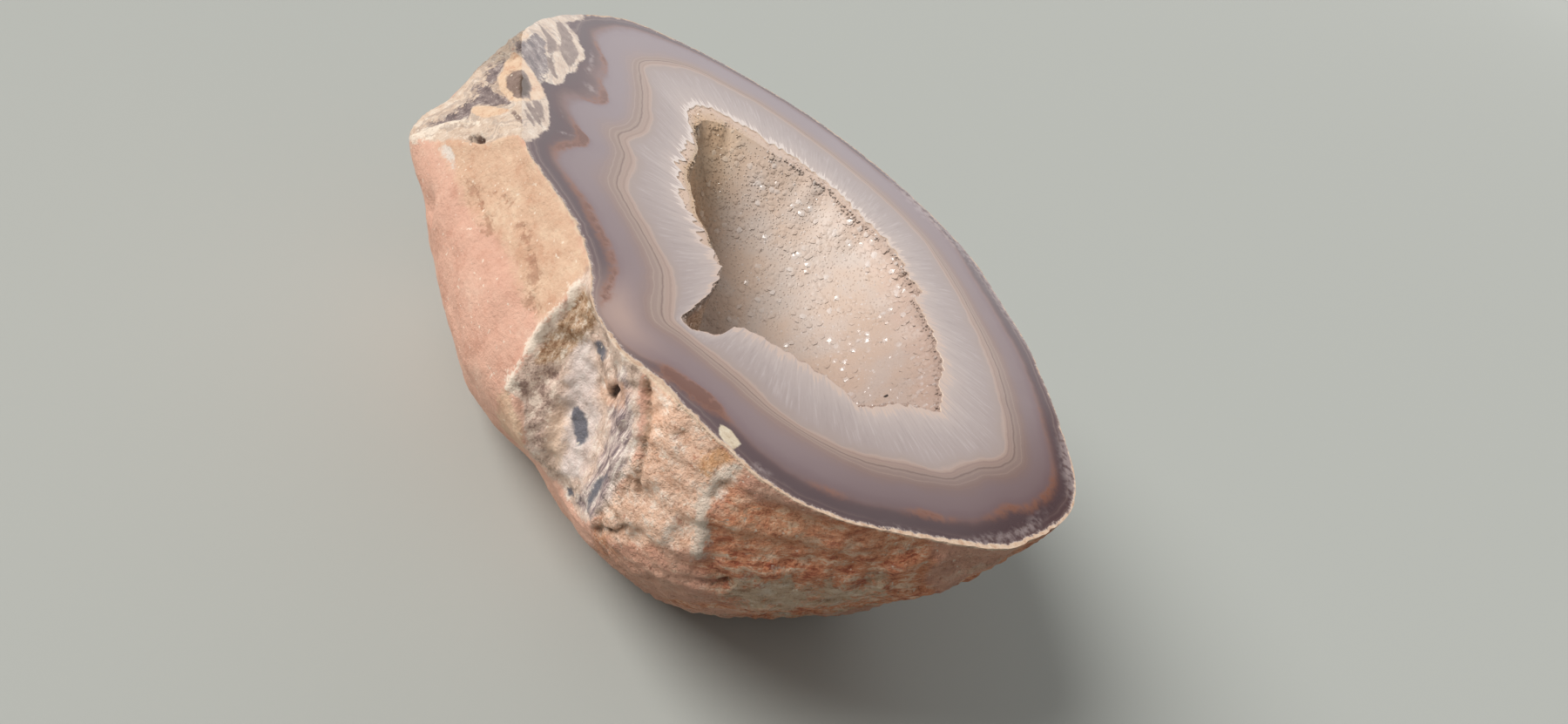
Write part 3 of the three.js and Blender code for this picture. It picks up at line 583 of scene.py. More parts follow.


# Stains, pale places and spots of painted shade on the polished face: x, y, reach along and aside, turn in
# degrees, strength

faceSpots = {
    "stain": [(31.5, -34.5, 6, 4, -20, 1.25), (-45, -14.5, 7, 3, -5, 0.9), (-33, -20, 5, 4, -30, 1.1),
        (-21, -29, 4, 4, -20, 1.1), (-17, -33, 3, 4, 0, 0.7), (0, -35.5, 12, 3, 0, 0.9),
        (13, -38.5, 5, 3, -35, 0.7), (54, 6, 3, 7, 0, 0.7), (50.5, 17, 3, 6, 35, 0.7),
        (52.5, -8, 3, 6, 15, 0.8), (47.5, -23, 3.5, 3, 50, 0.6), (38, 28, 10, 3, -35, 0.35),
        (-55, -7, 3, 8, 15, 0.3)],
    "blot": [(31.8, -35.2, 3.8, 1.5, 28, 0.8), (28.3, -38, 1.8, 2.0, 0, 0.5), (24, -41.3, 2.5, 0.8, 0, 0.3),
        (14.5, -40, 2.0, 1.1, -40, 0.55), (-21.3, -28.8, 1.6, 1.0, -20, 0.35)],
    "pale": [(-34.5, -21.3, 1.6, 1.1, 20, 0.8), (-43.5, -17.4, 3.2, 0.5, -25, 0.8),
        (-39.8, -19.6, 1.8, 0.5, -45, 0.7), (-20.7, -31.6, 0.4, 1.6, -12, 0.9),
        (-26, -30.2, 2.6, 0.4, -10, 0.4), (47, -29.2, 3.6, 1.2, 42, 0.2), (44.3, -31.8, 1.8, 0.9, 30, 0.6),
        (11.5, -41.3, 1.5, 0.7, -30, 0.9), (58.2, -1, 1.2, 10, 3, 0.6), (56.3, 9.5, 1.1, 6, 20, 0.5),
        (55.5, -14, 1.1, 5, -25, 0.4), (47, 28, 13, 2.6, -38, 1.4), (20, 41, 17, 2.4, -4, 1.0),
        (-12, 40, 15, 2.4, 12, 0.8)],
    # painted shade over the outer bands of the face's right end
    "paintedShade": [(56.5, 3, 2.6, 10, 5, 1.1), (53, 15, 2.0, 6, 30, 0.6), (42, -31, 10, 2.5, 30, 0.8),
        (54, -14, 3.5, 8, -20, 1.1), (48, -24, 9, 3, 45, 0.5), (37, 20, 13, 5, -40, 0.9),
        (48, -2, 4, 12, 0, 0.5)],
    "haze": [(18, -39.5, 6, 5, -20, 1.0)],
}
faceChip = [36.7, -33.9, 38, -32.8, 40, -32.6, 41.1, -34.3, 40.2, -34.9, 38.4, -35]


def makeStone():
    # rings from the resting patch over the outside and the face down into the hollow
    angles = columnAngles()
    outside, reach, masks = outsideShape(angles)
    rim = reach[-1]
    face, faceReach, bands, lines, foot = faceShape(angles, rim)
    patch = np.linspace(0.12, 1, stone["patchRows"] + 1)[:-1, None]
    patch = starPlace(angles, reach[0] * patch, 0.0)
    share = np.linspace(0, 1, stone["hollowRows"] + 2)[1:-1, None] ** 1.4 + np.zeros(len(angles))
    hollow = hollowPlace(angles, lines[4], share, hollowForm["solidBack"] * smoothStep(share / 0.2))
    hollow[..., 2] -= hollowForm["solidBelow"]
    grid = np.concatenate([patch, outside, face, hollow])
    rows, columns = grid.shape[:2]
    ends = np.array([[*starMiddle, 0.0], [*hollowBottom, faceHeight - hollowForm["solidBottom"]]])
    places = np.concatenate([grid.reshape(-1, 3), ends])
    piece = makePiece("agateStone", places, ringFaces(rows, columns), "stone")

    # outside, face and hollow each have their own material, and the flat face stays flat up to its edge
    rimRow = len(patch) + len(outside) - 1
    edgeRow = rimRow + len(face)
    strip = np.repeat(np.arange(rows - 1), columns)
    kind = np.select([strip < rimRow, strip < edgeRow], [0, 1], 2)
    kind = np.concatenate([kind, np.zeros(columns, int), np.full(columns, 2)])
    piece.data.polygons.foreach_set("material_index", kind.astype(np.int32))
    piece.data.polygons.foreach_set("use_smooth", kind != 1)

    # the numbers that the materials read: depths inside the marks, the band, and the strength of the
    # stains, the pale places and the painted shade
    onFace = slice(rimRow, edgeRow + 1)
    flat = grid[onFace, :, :2]
    ringReach = np.concatenate([rim[None], faceReach])
    numbers = {name: np.full((rows, columns), -8.0) for name in [*masks, "chip"]}
    for name, values in masks.items():
        numbers[name][len(patch):rimRow + 1] = values
    for name, values in markDepths(flat).items():
        numbers[name][onFace] = values
    numbers["chip"][onFace] = insideDepth(flat, faceChip)
    numbers["band"] = np.full((rows, columns), 4.0)
    numbers["band"][onFace] = np.concatenate([np.zeros((1, columns)), bands])
    width = np.interp(np.degrees(angles), *rindWidth, period=360)
    numbers["rind"] = 0.4 * width - 0.3 - 1.2 * (faceHeight - grid[..., 2])
    numbers["rind"][onFace] = width - (rim - ringReach)
    numbers["rind"] -= 3 * bump(numbers["veined"] + 0.3, 0.8)
    drawn = {name: sum(spot[5] * soft(flat, *spot[:5]) for spot in places)
             for name, places in faceSpots.items()}
    fromSeam = lines[1] - ringReach
    nearSeam = np.exp(-(np.where(fromSeam > 0, fromSeam / 0.45, fromSeam / 1.7)) ** 2)
    drawn["stain"] = drawn["stain"] * nearSeam + drawn.pop("blot")
    for name, values in drawn.items():
        numbers[name] = np.zeros((rows, columns))
        numbers[name][onFace] = values
    for name, values in numbers.items():
        giveNumbers(piece, name, np.append(np.clip(values, -8, 8).ravel(), [0.0, 0.0]))
    along = foot[None] + np.zeros((rows, 1, 1))
    giveNumbers(piece, "foot", np.concatenate([along.reshape(-1, 3), np.zeros((2, 3))]))
    print("stone:", len(piece.data.polygons), "faces")
    return piece


# The crystals: six-sided quartz points that stand close together on a bed that lines the hollow

druse = {
    "bedRows": 18,
    "bedSunk": 0.08,  # how far the bed lies in front of the wall, in millimetres, and its unevenness
    "bedUneven": 0.12,
    "bedTop": 0.16,  # how far the bed stays below the face
    "backSunk": 1.4,
    "bottoms": (25.5, 24.2),  # the depth of the bed's back and of its inside in the middle
    "footSunk": 0.05,  # how far the crystals' feet lie in front of the wall
    "tries": 130000,
    "closeness": 0.68,  # about this far apart, millimetres
    "radius": (0.4, 0.66),
    "height": (0.04, 0.18),
    "rooted": 0.35,  # how deep the sides reach into the bed
    "lean": 0.22,
    "bluntShare": 0.14,  # the largest ones, which show a stretch of straight sides under the point
    "shoulderSmaller": 0.6,  # the radius lost on the shoulder, so that none reaches over its edge
    "seed": 11,
}


def wallPlace(angles, share):
    # a place of the hollow's wall and the direction straight out of it
    step = 1e-3
    place = lambda turn, part: hollowPlace(turn, mouthDistance(turn), part, -druse["footSunk"])
    here, aside = place(angles, share), place(angles + step, share)
    further = place(angles, np.minimum(share + step, 1))
    return here, unit(np.cross(aside - here, further - here))


def calmed(foot, outward):
    # the wall's direction turned a third of the way up, and more towards the face over the last 2.4 mm
    share = 0.35 + 0.65 * smoothStep(1 - (faceHeight - foot[..., 2:]) / 2.4)
    return unit(outward * (1 - share) + share * (0, 0, 1))


def growCrystals(foot, axis, radius, height, rng, blunt):
    # a six-sided ring sunk in the bed, a second ring where the sides end if it is blunt, and a point
    count = len(foot)
    sideA = unit(np.cross(axis, rng.normal(0, 1, (count, 3))))
    sideB = np.cross(axis, sideA)
    six = (np.arange(6) * math.pi / 3)[None, :, None]
    ring = np.cos(six) * sideA[:, None] + np.sin(six) * sideB[:, None]
    ring = ring * (radius[:, None] * rng.uniform(0.8, 1.15, (count, 6)))[..., None]
    middle, out = foot[:, None], axis[:, None]
    parts = [middle - out * druse["rooted"] + ring * (1.0 if blunt else 1.25)]
    if blunt:
        sides = rng.uniform(0.2, 0.7, (count, 6)) * height[:, None]
        parts.append(middle + ring * 0.96 + out * sides[..., None])
    off = sideA * rng.normal(0, 0.14, (count, 1)) + sideB * rng.normal(0, 0.14, (count, 1))
    tip = foot + axis * (height + 0.14 * radius)[:, None] + off * radius[:, None]
    parts.append(tip[:, None])
    here, beside = np.arange(6), (np.arange(6) + 1) % 6
    top = 6 if blunt else 0
    points = np.stack([here + top, beside + top, np.full(6, top + 6)], -1)
    kinds = [points, np.array([[0, 5, 4, 3], [0, 3, 2, 1]])]
    if blunt:
        kinds.append(np.stack([here, beside, beside + 6, here + 6], -1))
    return np.concatenate(parts, 1), kinds


def makeDruse():
    # the bed: a closed bowl whose inside follows the wall and whose back lies a little deeper
    angles = columnAngles()
    mouth = mouthDistance(angles)
    share = np.linspace(0, 1, druse["bedRows"] + 1)[:-1, None] ** 1.2 + np.zeros(len(angles))
    inner = hollowPlace(angles, mouth, share, -druse["bedSunk"])
    inner[..., 2] += druse["bedUneven"] * (field(inner / 0.8) - 0.5)
    back = hollowPlace(angles, mouth, share[::4], druse["backSunk"])
    back[..., 2] -= 0.1
    grid = np.concatenate([back[::-1], inner])
    grid[..., 2] = np.minimum(grid[..., 2], faceHeight - druse["bedTop"])
    ends = np.array([[*hollowBottom, faceHeight - depth] for depth in druse["bottoms"]])
    rows, columns = grid.shape[:2]
    start = rows * columns + 2
    places, faces = [grid.reshape(-1, 3), ends], ringFaces(rows, columns)
    fromEdge = [np.zeros(back.shape[:2]).ravel(), (share * mouth).ravel(), [30, 30]]
    tone = [np.full(start, 0.5)]
    calm = [np.zeros((start, 3)) + (0, 0, 1)]
    calm[0][back.shape[0] * columns:-2] = calmed(inner, wallPlace(angles, share)[1]).reshape(-1, 3)

    # places for the crystals: many even chances on the wall, thinned to one in each small cube of space
    rng = np.random.default_rng(druse["seed"])
    turn = rng.uniform(0, 2 * math.pi, druse["tries"])
    part = 1 - np.sqrt(rng.uniform(0, 1, druse["tries"]))
    foot, outward = wallPlace(turn, part)
    cube = np.floor(foot / druse["closeness"]).astype(np.int64)
    chosen = np.unique(cube @ (1000003, 1009, 1), return_index=True)[1]
    foot, outward, part = foot[chosen], outward[chosen], part[chosen] * mouthDistance(turn[chosen])
    count = len(chosen)
    size = np.clip(field(foot / 4.5) * 0.5 + rng.uniform(0, 1, count) ** 1.6 * 0.6, 0, 1)
    size = np.clip(size + 0.25 * smoothStep(1 - part / 3.5), 0, 1)
    onShoulder = smoothStep((foot[:, 2] - faceHeight + 1.1) / 0.5)
    radius = np.interp(size, (0, 1), druse["radius"]) * (1 - druse["shoulderSmaller"] * onShoulder)
    height = np.interp(size, (0, 1), druse["height"])
    axis = unit(outward + druse["lean"] * rng.normal(0, 0.5, (count, 3)) + (0, 0, 0.1))
    large = size > np.quantile(size, 1 - druse["bluntShare"])
    for blunt, these in ((True, large), (False, ~large)):
        grown, kinds = growCrystals(foot[these], axis[these], radius[these], height[these], rng, blunt)
        number, points = grown.shape[:2]
        highest = faceHeight - rng.uniform(0.05, 0.25, (number, points))
        grown[..., 2] = np.minimum(grown[..., 2], highest)
        firsts = start + points * np.arange(number)[:, None, None]
        for kind in kinds:
            faces += (kind[None] + firsts).reshape(-1, kind.shape[1]).tolist()
        places.append(grown.reshape(-1, 3))
        fromEdge.append(np.repeat(part[these], points))
        tone.append(np.repeat(rng.uniform(0, 1, number), points))
        calm.append(np.repeat(calmed(foot[these], outward[these]), points, 0))
        start += number * points
    piece = makePiece("quartzDruse", np.concatenate(places), faces, "crystal_crust")
    for name, values in (("fromEdge", fromEdge), ("tone", tone), ("calm", calm)):
        giveNumbers(piece, name, np.concatenate(values))
    print("druse:", count, "crystals,", sum(len(f) - 2 for f in faces), "triangles")
    return piece


# Small tools for the materials

def rgb(red, green, blue):
    # a colour in steps of 255, as the eye sees it, turned to light
    c = np.array([red, green, blue]) / 255
    return (*np.where(c <= 0.04045, c / 12.92, ((c + 0.055) / 1.055) ** 2.4).tolist(), 1.0)


class Nodes:
    # adds nodes to one tree, and hands back the output of each one that it adds

    def __init__(self, tree):
        # starts without any patches
        self.tree = tree
        self.where = {}  # the coordinates that patches may follow, by name
        self.made = {}  # the patches made so far

    def add(self, kind, inputs, output=0, **settings):
        # a node with its settings, and with each input linked to an output or set to a value
        made = self.tree.nodes.new("ShaderNode" + kind)
        for key, value in settings.items():
            setattr(made, key, value)
        for key, value in inputs.items():
            if isinstance(value, bpy.types.NodeSocket):
                self.tree.links.new(value, made.inputs[key])
            else:
                made.inputs[key].default_value = value
        return made.outputs[output]

    def maths(self, operation, *values):
        # one step of arithmetic
        return self.add("Math", dict(enumerate(values)), operation=operation)

    def times(self, first, second):
        # the product of two values
        return self.maths("MULTIPLY", first, second)

    def line(self, value, slope, start):
        # the value times a slope plus a start
        return self.maths("MULTIPLY_ADD", value, slope, start)

    def scaled(self, vector, scale):
        # a place with each of its numbers times its own factor
        return self.add("VectorMath", {0: vector, 1: scale}, operation="MULTIPLY")

    def dotted(self, vector, direction):
        # how far a place lies along a direction: their dot product
        return self.add("VectorMath", {0: vector, 1: direction}, "Value", operation="DOT_PRODUCT")

    def noise(self, vector, size, detail=2.0, roughness=0.5):
        # noise whose grains measure about size millimetres
        inputs = {"Vector": vector, "Scale": 1 / size, "Detail": detail, "Roughness": roughness}
        return self.add("TexNoise", inputs, "Fac")

    def rings(self, value, often, roughness=0.5):
        # noise that changes along one value only
        inputs = {"W": self.times(value, often), "Scale": 1.0, "Detail": 2.0, "Roughness": roughness}
        return self.add("TexNoise", inputs, "Fac", noise_dimensions="1D")

    def stepped(self, value, low, high, toLow=0.0, toHigh=1.0):
        # a smooth step from toLow to toHigh while the value goes from low to high
        inputs = {"Value": value, "From Min": low, "From Max": high, "To Min": toLow, "To Max": toHigh}
        return self.add("MapRange", inputs, interpolation_type="SMOOTHSTEP")

    def number(self, name, output="Fac"):
        # a number, or a direction, that the mesh holds for every vertex
        return self.add("Attribute", {}, output, attribute_name=name)

    def torn(self, name, tear=1.0, softness=0.35, grow=0.0):
        # the mask of a mark with a torn edge, grown by some millimetres
        inputs = {"Depth": self.maths("ADD", self.number(name), grow), "Place": self.where["place"],
                  "Tear": tear, "Softness": softness}
        return self.add("Group", inputs, node_tree=raggedEdge)

    def patches(self, name):
        # three colours in patches, made once in each material
        if name not in self.made:
            where, size, dark, middle, light, contrast = stonePatches[name]
            spread = self.scaled(self.where[where], tuple(1 / s for s in size))
            inputs = {"Place": spread, "Dark": rgb(*dark), "Middle": rgb(*middle), "Light": rgb(*light),
                      "Contrast": contrast}
            self.made[name] = self.add("Group", inputs, node_tree=mottle)
        return self.made[name]

    def coloured(self, colour):
        # a colour may be given as the name of its patches, as three steps of 255 or as an output
        if isinstance(colour, str):
            return self.patches(colour)
        return rgb(*colour) if isinstance(colour, tuple) else colour

    def mixed(self, share, below, above, strength=1.0, blend="MIX"):
        # one colour over another by a share times a strength
        inputs = {0: self.times(share, strength), 6: self.coloured(below), 7: self.coloured(above)}
        return self.add("Mix", inputs, 2, data_type="RGBA", blend_type=blend)

    def overlay(self, colour, layers):
        # layers by their marks, one over the other: mark, tear, softness, strength, colour, grow
        for mark, tear, softness, strength, above, *grow in layers:
            colour = self.mixed(self.torn(mark, tear, softness, *grow), colour, above, strength)
        return colour

    def ramp(self, value, stops):
        # a colour by value: straight blends between the stops, which run from 0 to the last one
        last = stops[-1][0]
        colour = self.add("ValToRGB", {0: self.maths("DIVIDE", value, last)})
        elements = colour.node.color_ramp.elements
        for place, step in stops[1:-1]:
            elements.new(place / last).color = rgb(*step)
        elements[0].position, elements[-1].position = 0.0, 1.0
        elements[0].color, elements[-1].color = rgb(*stops[0][1]), rgb(*stops[-1][1])
        return colour

    def shade(self, inputs):
        # the surface of the material
        surface = self.tree.nodes.new("ShaderNodeOutputMaterial").inputs[0]
        self.tree.links.new(self.add("BsdfPrincipled", inputs), surface)


def newGroup(name, inputs, output, kind):
    # an empty node group with one output, and what adds its nodes
    tree = bpy.data.node_groups.new(name, "ShaderNodeTree")
    for label, sort, value in inputs:
        socket = tree.interface.new_socket(label, in_out="INPUT", socket_type="NodeSocket" + sort)
        if value is not None:
            socket.default_value = value
    tree.interface.new_socket(output, in_out="OUTPUT", socket_type="NodeSocket" + kind)
    return Nodes(tree), tree.nodes.new("NodeGroupInput").outputs, tree.nodes.new("NodeGroupOutput").inputs


def makeRaggedEdge():
    # a mask with a torn edge: the depth in millimetres is disturbed by coarse and fine grains
    make, given, result = newGroup("raggedEdge", [
        ("Depth", "Float", 0.0), ("Place", "Vector", None), ("Tear", "Float", 1.0),
        ("Softness", "Float", 0.3)], "Mask", "Float")
    coarse = make.maths("SUBTRACT", make.noise(given["Place"], 2.4, 3.0, 0.6), 0.5)
    fine = make.maths("SUBTRACT", make.noise(given["Place"], 0.6, 2.0, 0.6), 0.5)
    grains = make.line(coarse, 3.2, make.times(fine, 1.4))
    depth = make.line(grains, given["Tear"], given["Depth"])
    shown = make.maths("DIVIDE", depth, given["Softness"])
    make.tree.links.new(make.stepped(shown, -1.0, 1.0), result["Mask"])
    return make.tree


def makeMottle():
    # three colours in patches, each patch grained with the next
    make, given, result = newGroup("mottle", [
        ("Place", "Vector", None), ("Dark", "Color", None), ("Middle", "Color", None),
        ("Light", "Color", None), ("Contrast", "Float", 1.0)], "Color", "Color")
    coarse = make.noise(given["Place"], 1.0, 5.0, 0.62)
    fine = make.noise(make.scaled(given["Place"], (5, 5, 5)), 1.0, 3.0, 0.6)
    value = make.line(make.maths("SUBTRACT", fine, 0.5), 0.45, coarse)
    value = make.line(make.maths("SUBTRACT", value, 0.5), given["Contrast"], 0.5)
    low = make.mixed(make.stepped(value, 0.3, 0.5), given["Dark"], given["Middle"])
    make.tree.links.new(make.mixed(make.stepped(value, 0.5, 0.72), low, given["Light"]), result["Color"])
    return make.tree


raggedEdge = makeRaggedEdge()
mottle = makeMottle()
stonePatches = {  # what they follow, their size in millimetres, dark, middle and light colour, contrast
    "crust": ("laid", (1.5, 1.5, 1.1), (190, 116, 80), (236, 168, 128), (246, 206, 172), 1.4),
    "layers": ("laid", (3.2, 3.2, 1.2), (176, 92, 62), (224, 148, 108), (242, 204, 174), 1.5),
    "whitish": ("laid", (2.4, 2.4, 1.2), (170, 138, 110), (212, 188, 160), (232, 218, 200), 1.0),
    "pink": ("place", (6, 6, 5), (208, 156, 134), (220, 172, 150), (228, 186, 164), 0.9),
    "yellow": ("place", (4.5, 4.5, 3.2), (204, 160, 132), (216, 178, 150), (226, 194, 166), 1.0),
    "bulge": ("place", (2.6, 2.6, 2.2), (212, 166, 138), (234, 194, 168), (248, 226, 208), 1.2),
    "scoop": ("slant", (1.8, 3.0, 3.2), (170, 144, 128), (220, 192, 174), (246, 230, 216), 1.2),
    "core": ("slant", (2.2, 5, 5), (204, 182, 172), (224, 206, 198), (236, 224, 216), 0.9),
    "brown": ("slant", (1.2, 2.2, 2.6), (146, 106, 74), (192, 158, 128), (236, 216, 196), 1.5),
    "streaks": ("slant", (0.6, 4.0, 4.5), (128, 110, 112), (192, 170, 164), (242, 226, 214), 1.6),
    "blotches": ("place", (1.4, 1.4, 1.7), (156, 128, 116), (208, 180, 164), (244, 222, 204), 1.5),
    "corner": ("slant", (2.6, 1.4, 1.4), (204, 178, 158), (224, 202, 182), (238, 222, 206), 1.1),
    "mauve": ("slant", (2.2, 1.1, 1.1), (106, 92, 92), (138, 122, 120), (184, 170, 164), 1.2),
    "peach": ("place", (2.2, 2.2, 2.2), (214, 168, 138), (232, 200, 170), (240, 214, 188), 1.0),
    "lens": ("slant", (2, 1.2, 1.2), (122, 100, 90), (146, 124, 114), (172, 152, 140), 0.8),
    "chip": ("place", (1.6, 1.6, 1), (180, 156, 126), (214, 196, 168), (232, 220, 198), 1.0),
    "rind": ("place", (0.9, 0.9, 0.9), (194, 154, 126), (218, 188, 162), (232, 212, 192), 1.0),
    "hollow": ("place", (2, 2, 2), (186, 158, 138), (206, 184, 166), (222, 204, 190), 1.0),
}


def newMaterial(name):
    # an empty material and what adds its nodes, with its place in the drawing's millimetres
    material = bpy.data.materials.new(name)
    material.use_nodes = True
    material.node_tree.nodes.clear()
    make = Nodes(material.node_tree)
    place = make.add("Mapping", {
        "Vector": make.add("TexCoord", {}, "Object"), "Location": tuple((-shift).tolist()),
        "Scale": (1000, 1000, 1000)})
    make.where = {"place": place, "slant": place}
    return material, make


# The rough outside: crust, smooth pink skin, yellow skin, the broken scoop and the veined corner

def makeOutsideMaterial():
    # the crust, with the skins, the scoop, the corner and the small marks laid over it one after the other
    material, make = newMaterial("roughOutside")
    place = make.where["place"]
    x, y = make.add("SeparateXYZ", {0: place}, 0), make.add("SeparateXYZ", {0: place}, 1)
    laid = make.add("CombineXYZ", {0: x, 1: y, 2: make.dotted(place, layerTilt)})
    make.where["laid"] = laid
    make.where["slant"] = make.add("Mapping", {"Vector": place, "Rotation": (0.35, 0.25, -0.6)})
    colour = make.mixed(make.torn("layers", 1.2, 1.2), "crust", "layers")
    lowLayers = make.stepped(make.noise(place, 17), 0.42, 0.58)
    colour = make.mixed(lowLayers, colour, "layers", 0.8)
    roundAbout = make.stepped(make.noise(make.scaled(place, (1, 1, 1.5)), 24, 3.0), 0.5, 0.6)
    colour = make.mixed(roundAbout, colour, "pink", 0.75)
    strewn = make.stepped(make.noise(make.scaled(laid, (1, 1, 2.2)), 5.5, 4.0, 0.6), 0.6, 0.68)
    colour = make.mixed(strewn, colour, "whitish", 0.45)
    colour = make.overlay(colour, [
        ("green", 2.0, 1.0, 0.85, "whitish"), ("pink", 1.0, 0.9, 1.0, "pink"),
        ("bulge", 0.7, 0.5, 1.0, "bulge"), ("lowerPatch", 0.6, 0.4, 1.0, "yellow"),
        ("orange", 0.8, 0.8, 0.7, (212, 152, 92)), ("stripe", 0.9, 0.5, 0.85, (222, 206, 190)),
        ("yellow", 0.9, 1.4, 1.0, "yellow"), ("groove", 0.7, 0.4, 1.0, (222, 208, 196))])

    # inside the scoop: milky core, brown and dark streaks, slate spots
    scoop = make.overlay("scoop", [
        ("scoopCore", 0.5, 0.8, 1.0, "core"), ("scoopBrown", 0.7, 0.6, 1.0, "brown"),
        ("scoopStreaks", 0.4, 0.5, 1.0, "streaks"), ("scoopBlotches", 0.6, 0.5, 1.0, "blotches"),
        ("scoopPeach", 0.8, 0.9, 0.8, (234, 202, 176))])
    inScoop = make.torn("scoop", 0.5, 0.35)
    colour = cornerColours(make, make.mixed(inScoop, colour, scoop))
    colour = make.mixed(make.torn("veined", 0.35, 0.25), colour, (214, 206, 200), 0.3, "MULTIPLY")

    # small marks: pale ridges, creases darkened with painted shadow, the line of pits, slate, holes painted
    # dark as their shadow and the cream line under the rim
    colour = make.overlay(colour, [
        ("ridge", 1.1, 0.4, 0.8, (244, 228, 210)), ("shadowedCrease", 0.3, 0.35, 0.7, (130, 96, 70)),
        ("seam", 1.5, 0.5, 0.55, (160, 112, 88)), ("slate", 0.2, 0.25, 1.0, (108, 106, 114))])
    rusty = make.times(make.torn("shadowedHole", 0.9, 0.9, 1.1), inScoop)
    colour = make.mixed(rusty, colour, (222, 172, 138), 0.6)
    # painted shadow: the holes are dark inside
    colour = make.overlay(colour, [
        ("shadowedHole", 0.2, 0.25, 1.0, (72, 44, 30)), ("rind", 0.35, 0.35, 0.9, (226, 200, 174))])

    # darker and browner in the hollows of the grain, and specks of white and red, faint on the smooth skins
    skin = make.maths("MAXIMUM", make.torn("pink", 1.0, 1.5), make.torn("yellow", 0.9, 1.0))
    rough = make.line(skin, -0.75, 1.0)
    grain = make.noise(place, 0.55, 4.0, 0.65)
    # darker where the grain noise is low, the same places where the bump below sinks
    grainHollows = make.stepped(grain, 0.3, 0.46, 0.5, 0.0)
    colour = make.mixed(grainHollows, colour, (170, 122, 96), rough, "MULTIPLY")
    specks = make.stepped(make.noise(place, 0.8, 1.0), 0.7, 0.76)
    colour = make.mixed(specks, colour, (246, 232, 214), 0.6)
    reds = make.stepped(make.noise(make.scaled(place, (1, 1, 1.3)), 1.3), 0.66, 0.74)
    colour = make.mixed(reds, colour, (170, 92, 68), make.times(rough, 0.4))

    # fine relief, weaker on the skins and on the bulge
    rough = make.times(rough, make.line(make.torn("bulge", 0.7, 1.5), -0.45, 1.0))
    height = make.line(grain, 0.5, make.noise(place, 1.0, 5.0, 0.7))
    relief = {"Strength": 1.0, "Distance": 0.0014, "Height": make.times(height, rough)}
    gloss = make.line(inScoop, -0.3, make.stepped(grain, 0.3, 0.7, 0.72, 0.9))
    make.shade({"Base Color": colour, "Roughness": gloss, "Normal": make.add("Bump", relief)})
    return material


def cornerColours(make, colour):
    # the veined corner: cream stone, mauve agate between, peach patches, brown lenses with dark cores
    veined = make.torn("veined", 0.35, 0.25)
    colour = make.mixed(veined, colour, "corner")
    around = make.line(make.noise(make.where["place"], 2.0, 3.0), 2.5, make.number("mauve"))
    ringed = make.times(make.stepped(make.rings(around, 1.4), 0.48, 0.6), veined)
    return make.overlay(make.mixed(ringed, colour, "mauve", 0.35), [
        ("mauve", 0.9, 0.3, 1.0, "mauve", 0.1), ("peach", 0.3, 0.25, 1.0, "peach"),
        ("brownLens", 0.25, 0.2, 1.0, "lens", 0.05), ("darkCore", 0.4, 0.4, 1.0, (88, 66, 52))])


# The polished face: colours by the number of the band, with stains, fibres and veins

faceColours = [
    (0.0, (120, 96, 92)), (0.2, (92, 64, 66)), (0.55, (80, 54, 58)), (0.72, (86, 54, 56)),
    (0.85, (104, 72, 68)), (0.95, (124, 92, 88)), (1.05, (124, 98, 98)), (1.15, (124, 100, 103)),
    (1.35, (130, 108, 110)), (1.65, (132, 110, 111)), (1.85, (135, 110, 106)), (1.96, (140, 112, 103)),
    (2.1, (146, 120, 109)), (2.3, (150, 125, 114)), (2.44, (156, 132, 119)), (2.5, (130, 102, 90)),
    (2.56, (160, 135, 122)), (2.78, (168, 140, 126)), (2.95, (176, 150, 137)), (3.03, (160, 141, 134)),
    (3.2, (163, 146, 142)), (3.5, (170, 154, 150)), (3.8, (182, 165, 159)), (4.0, (196, 176, 167)),
]


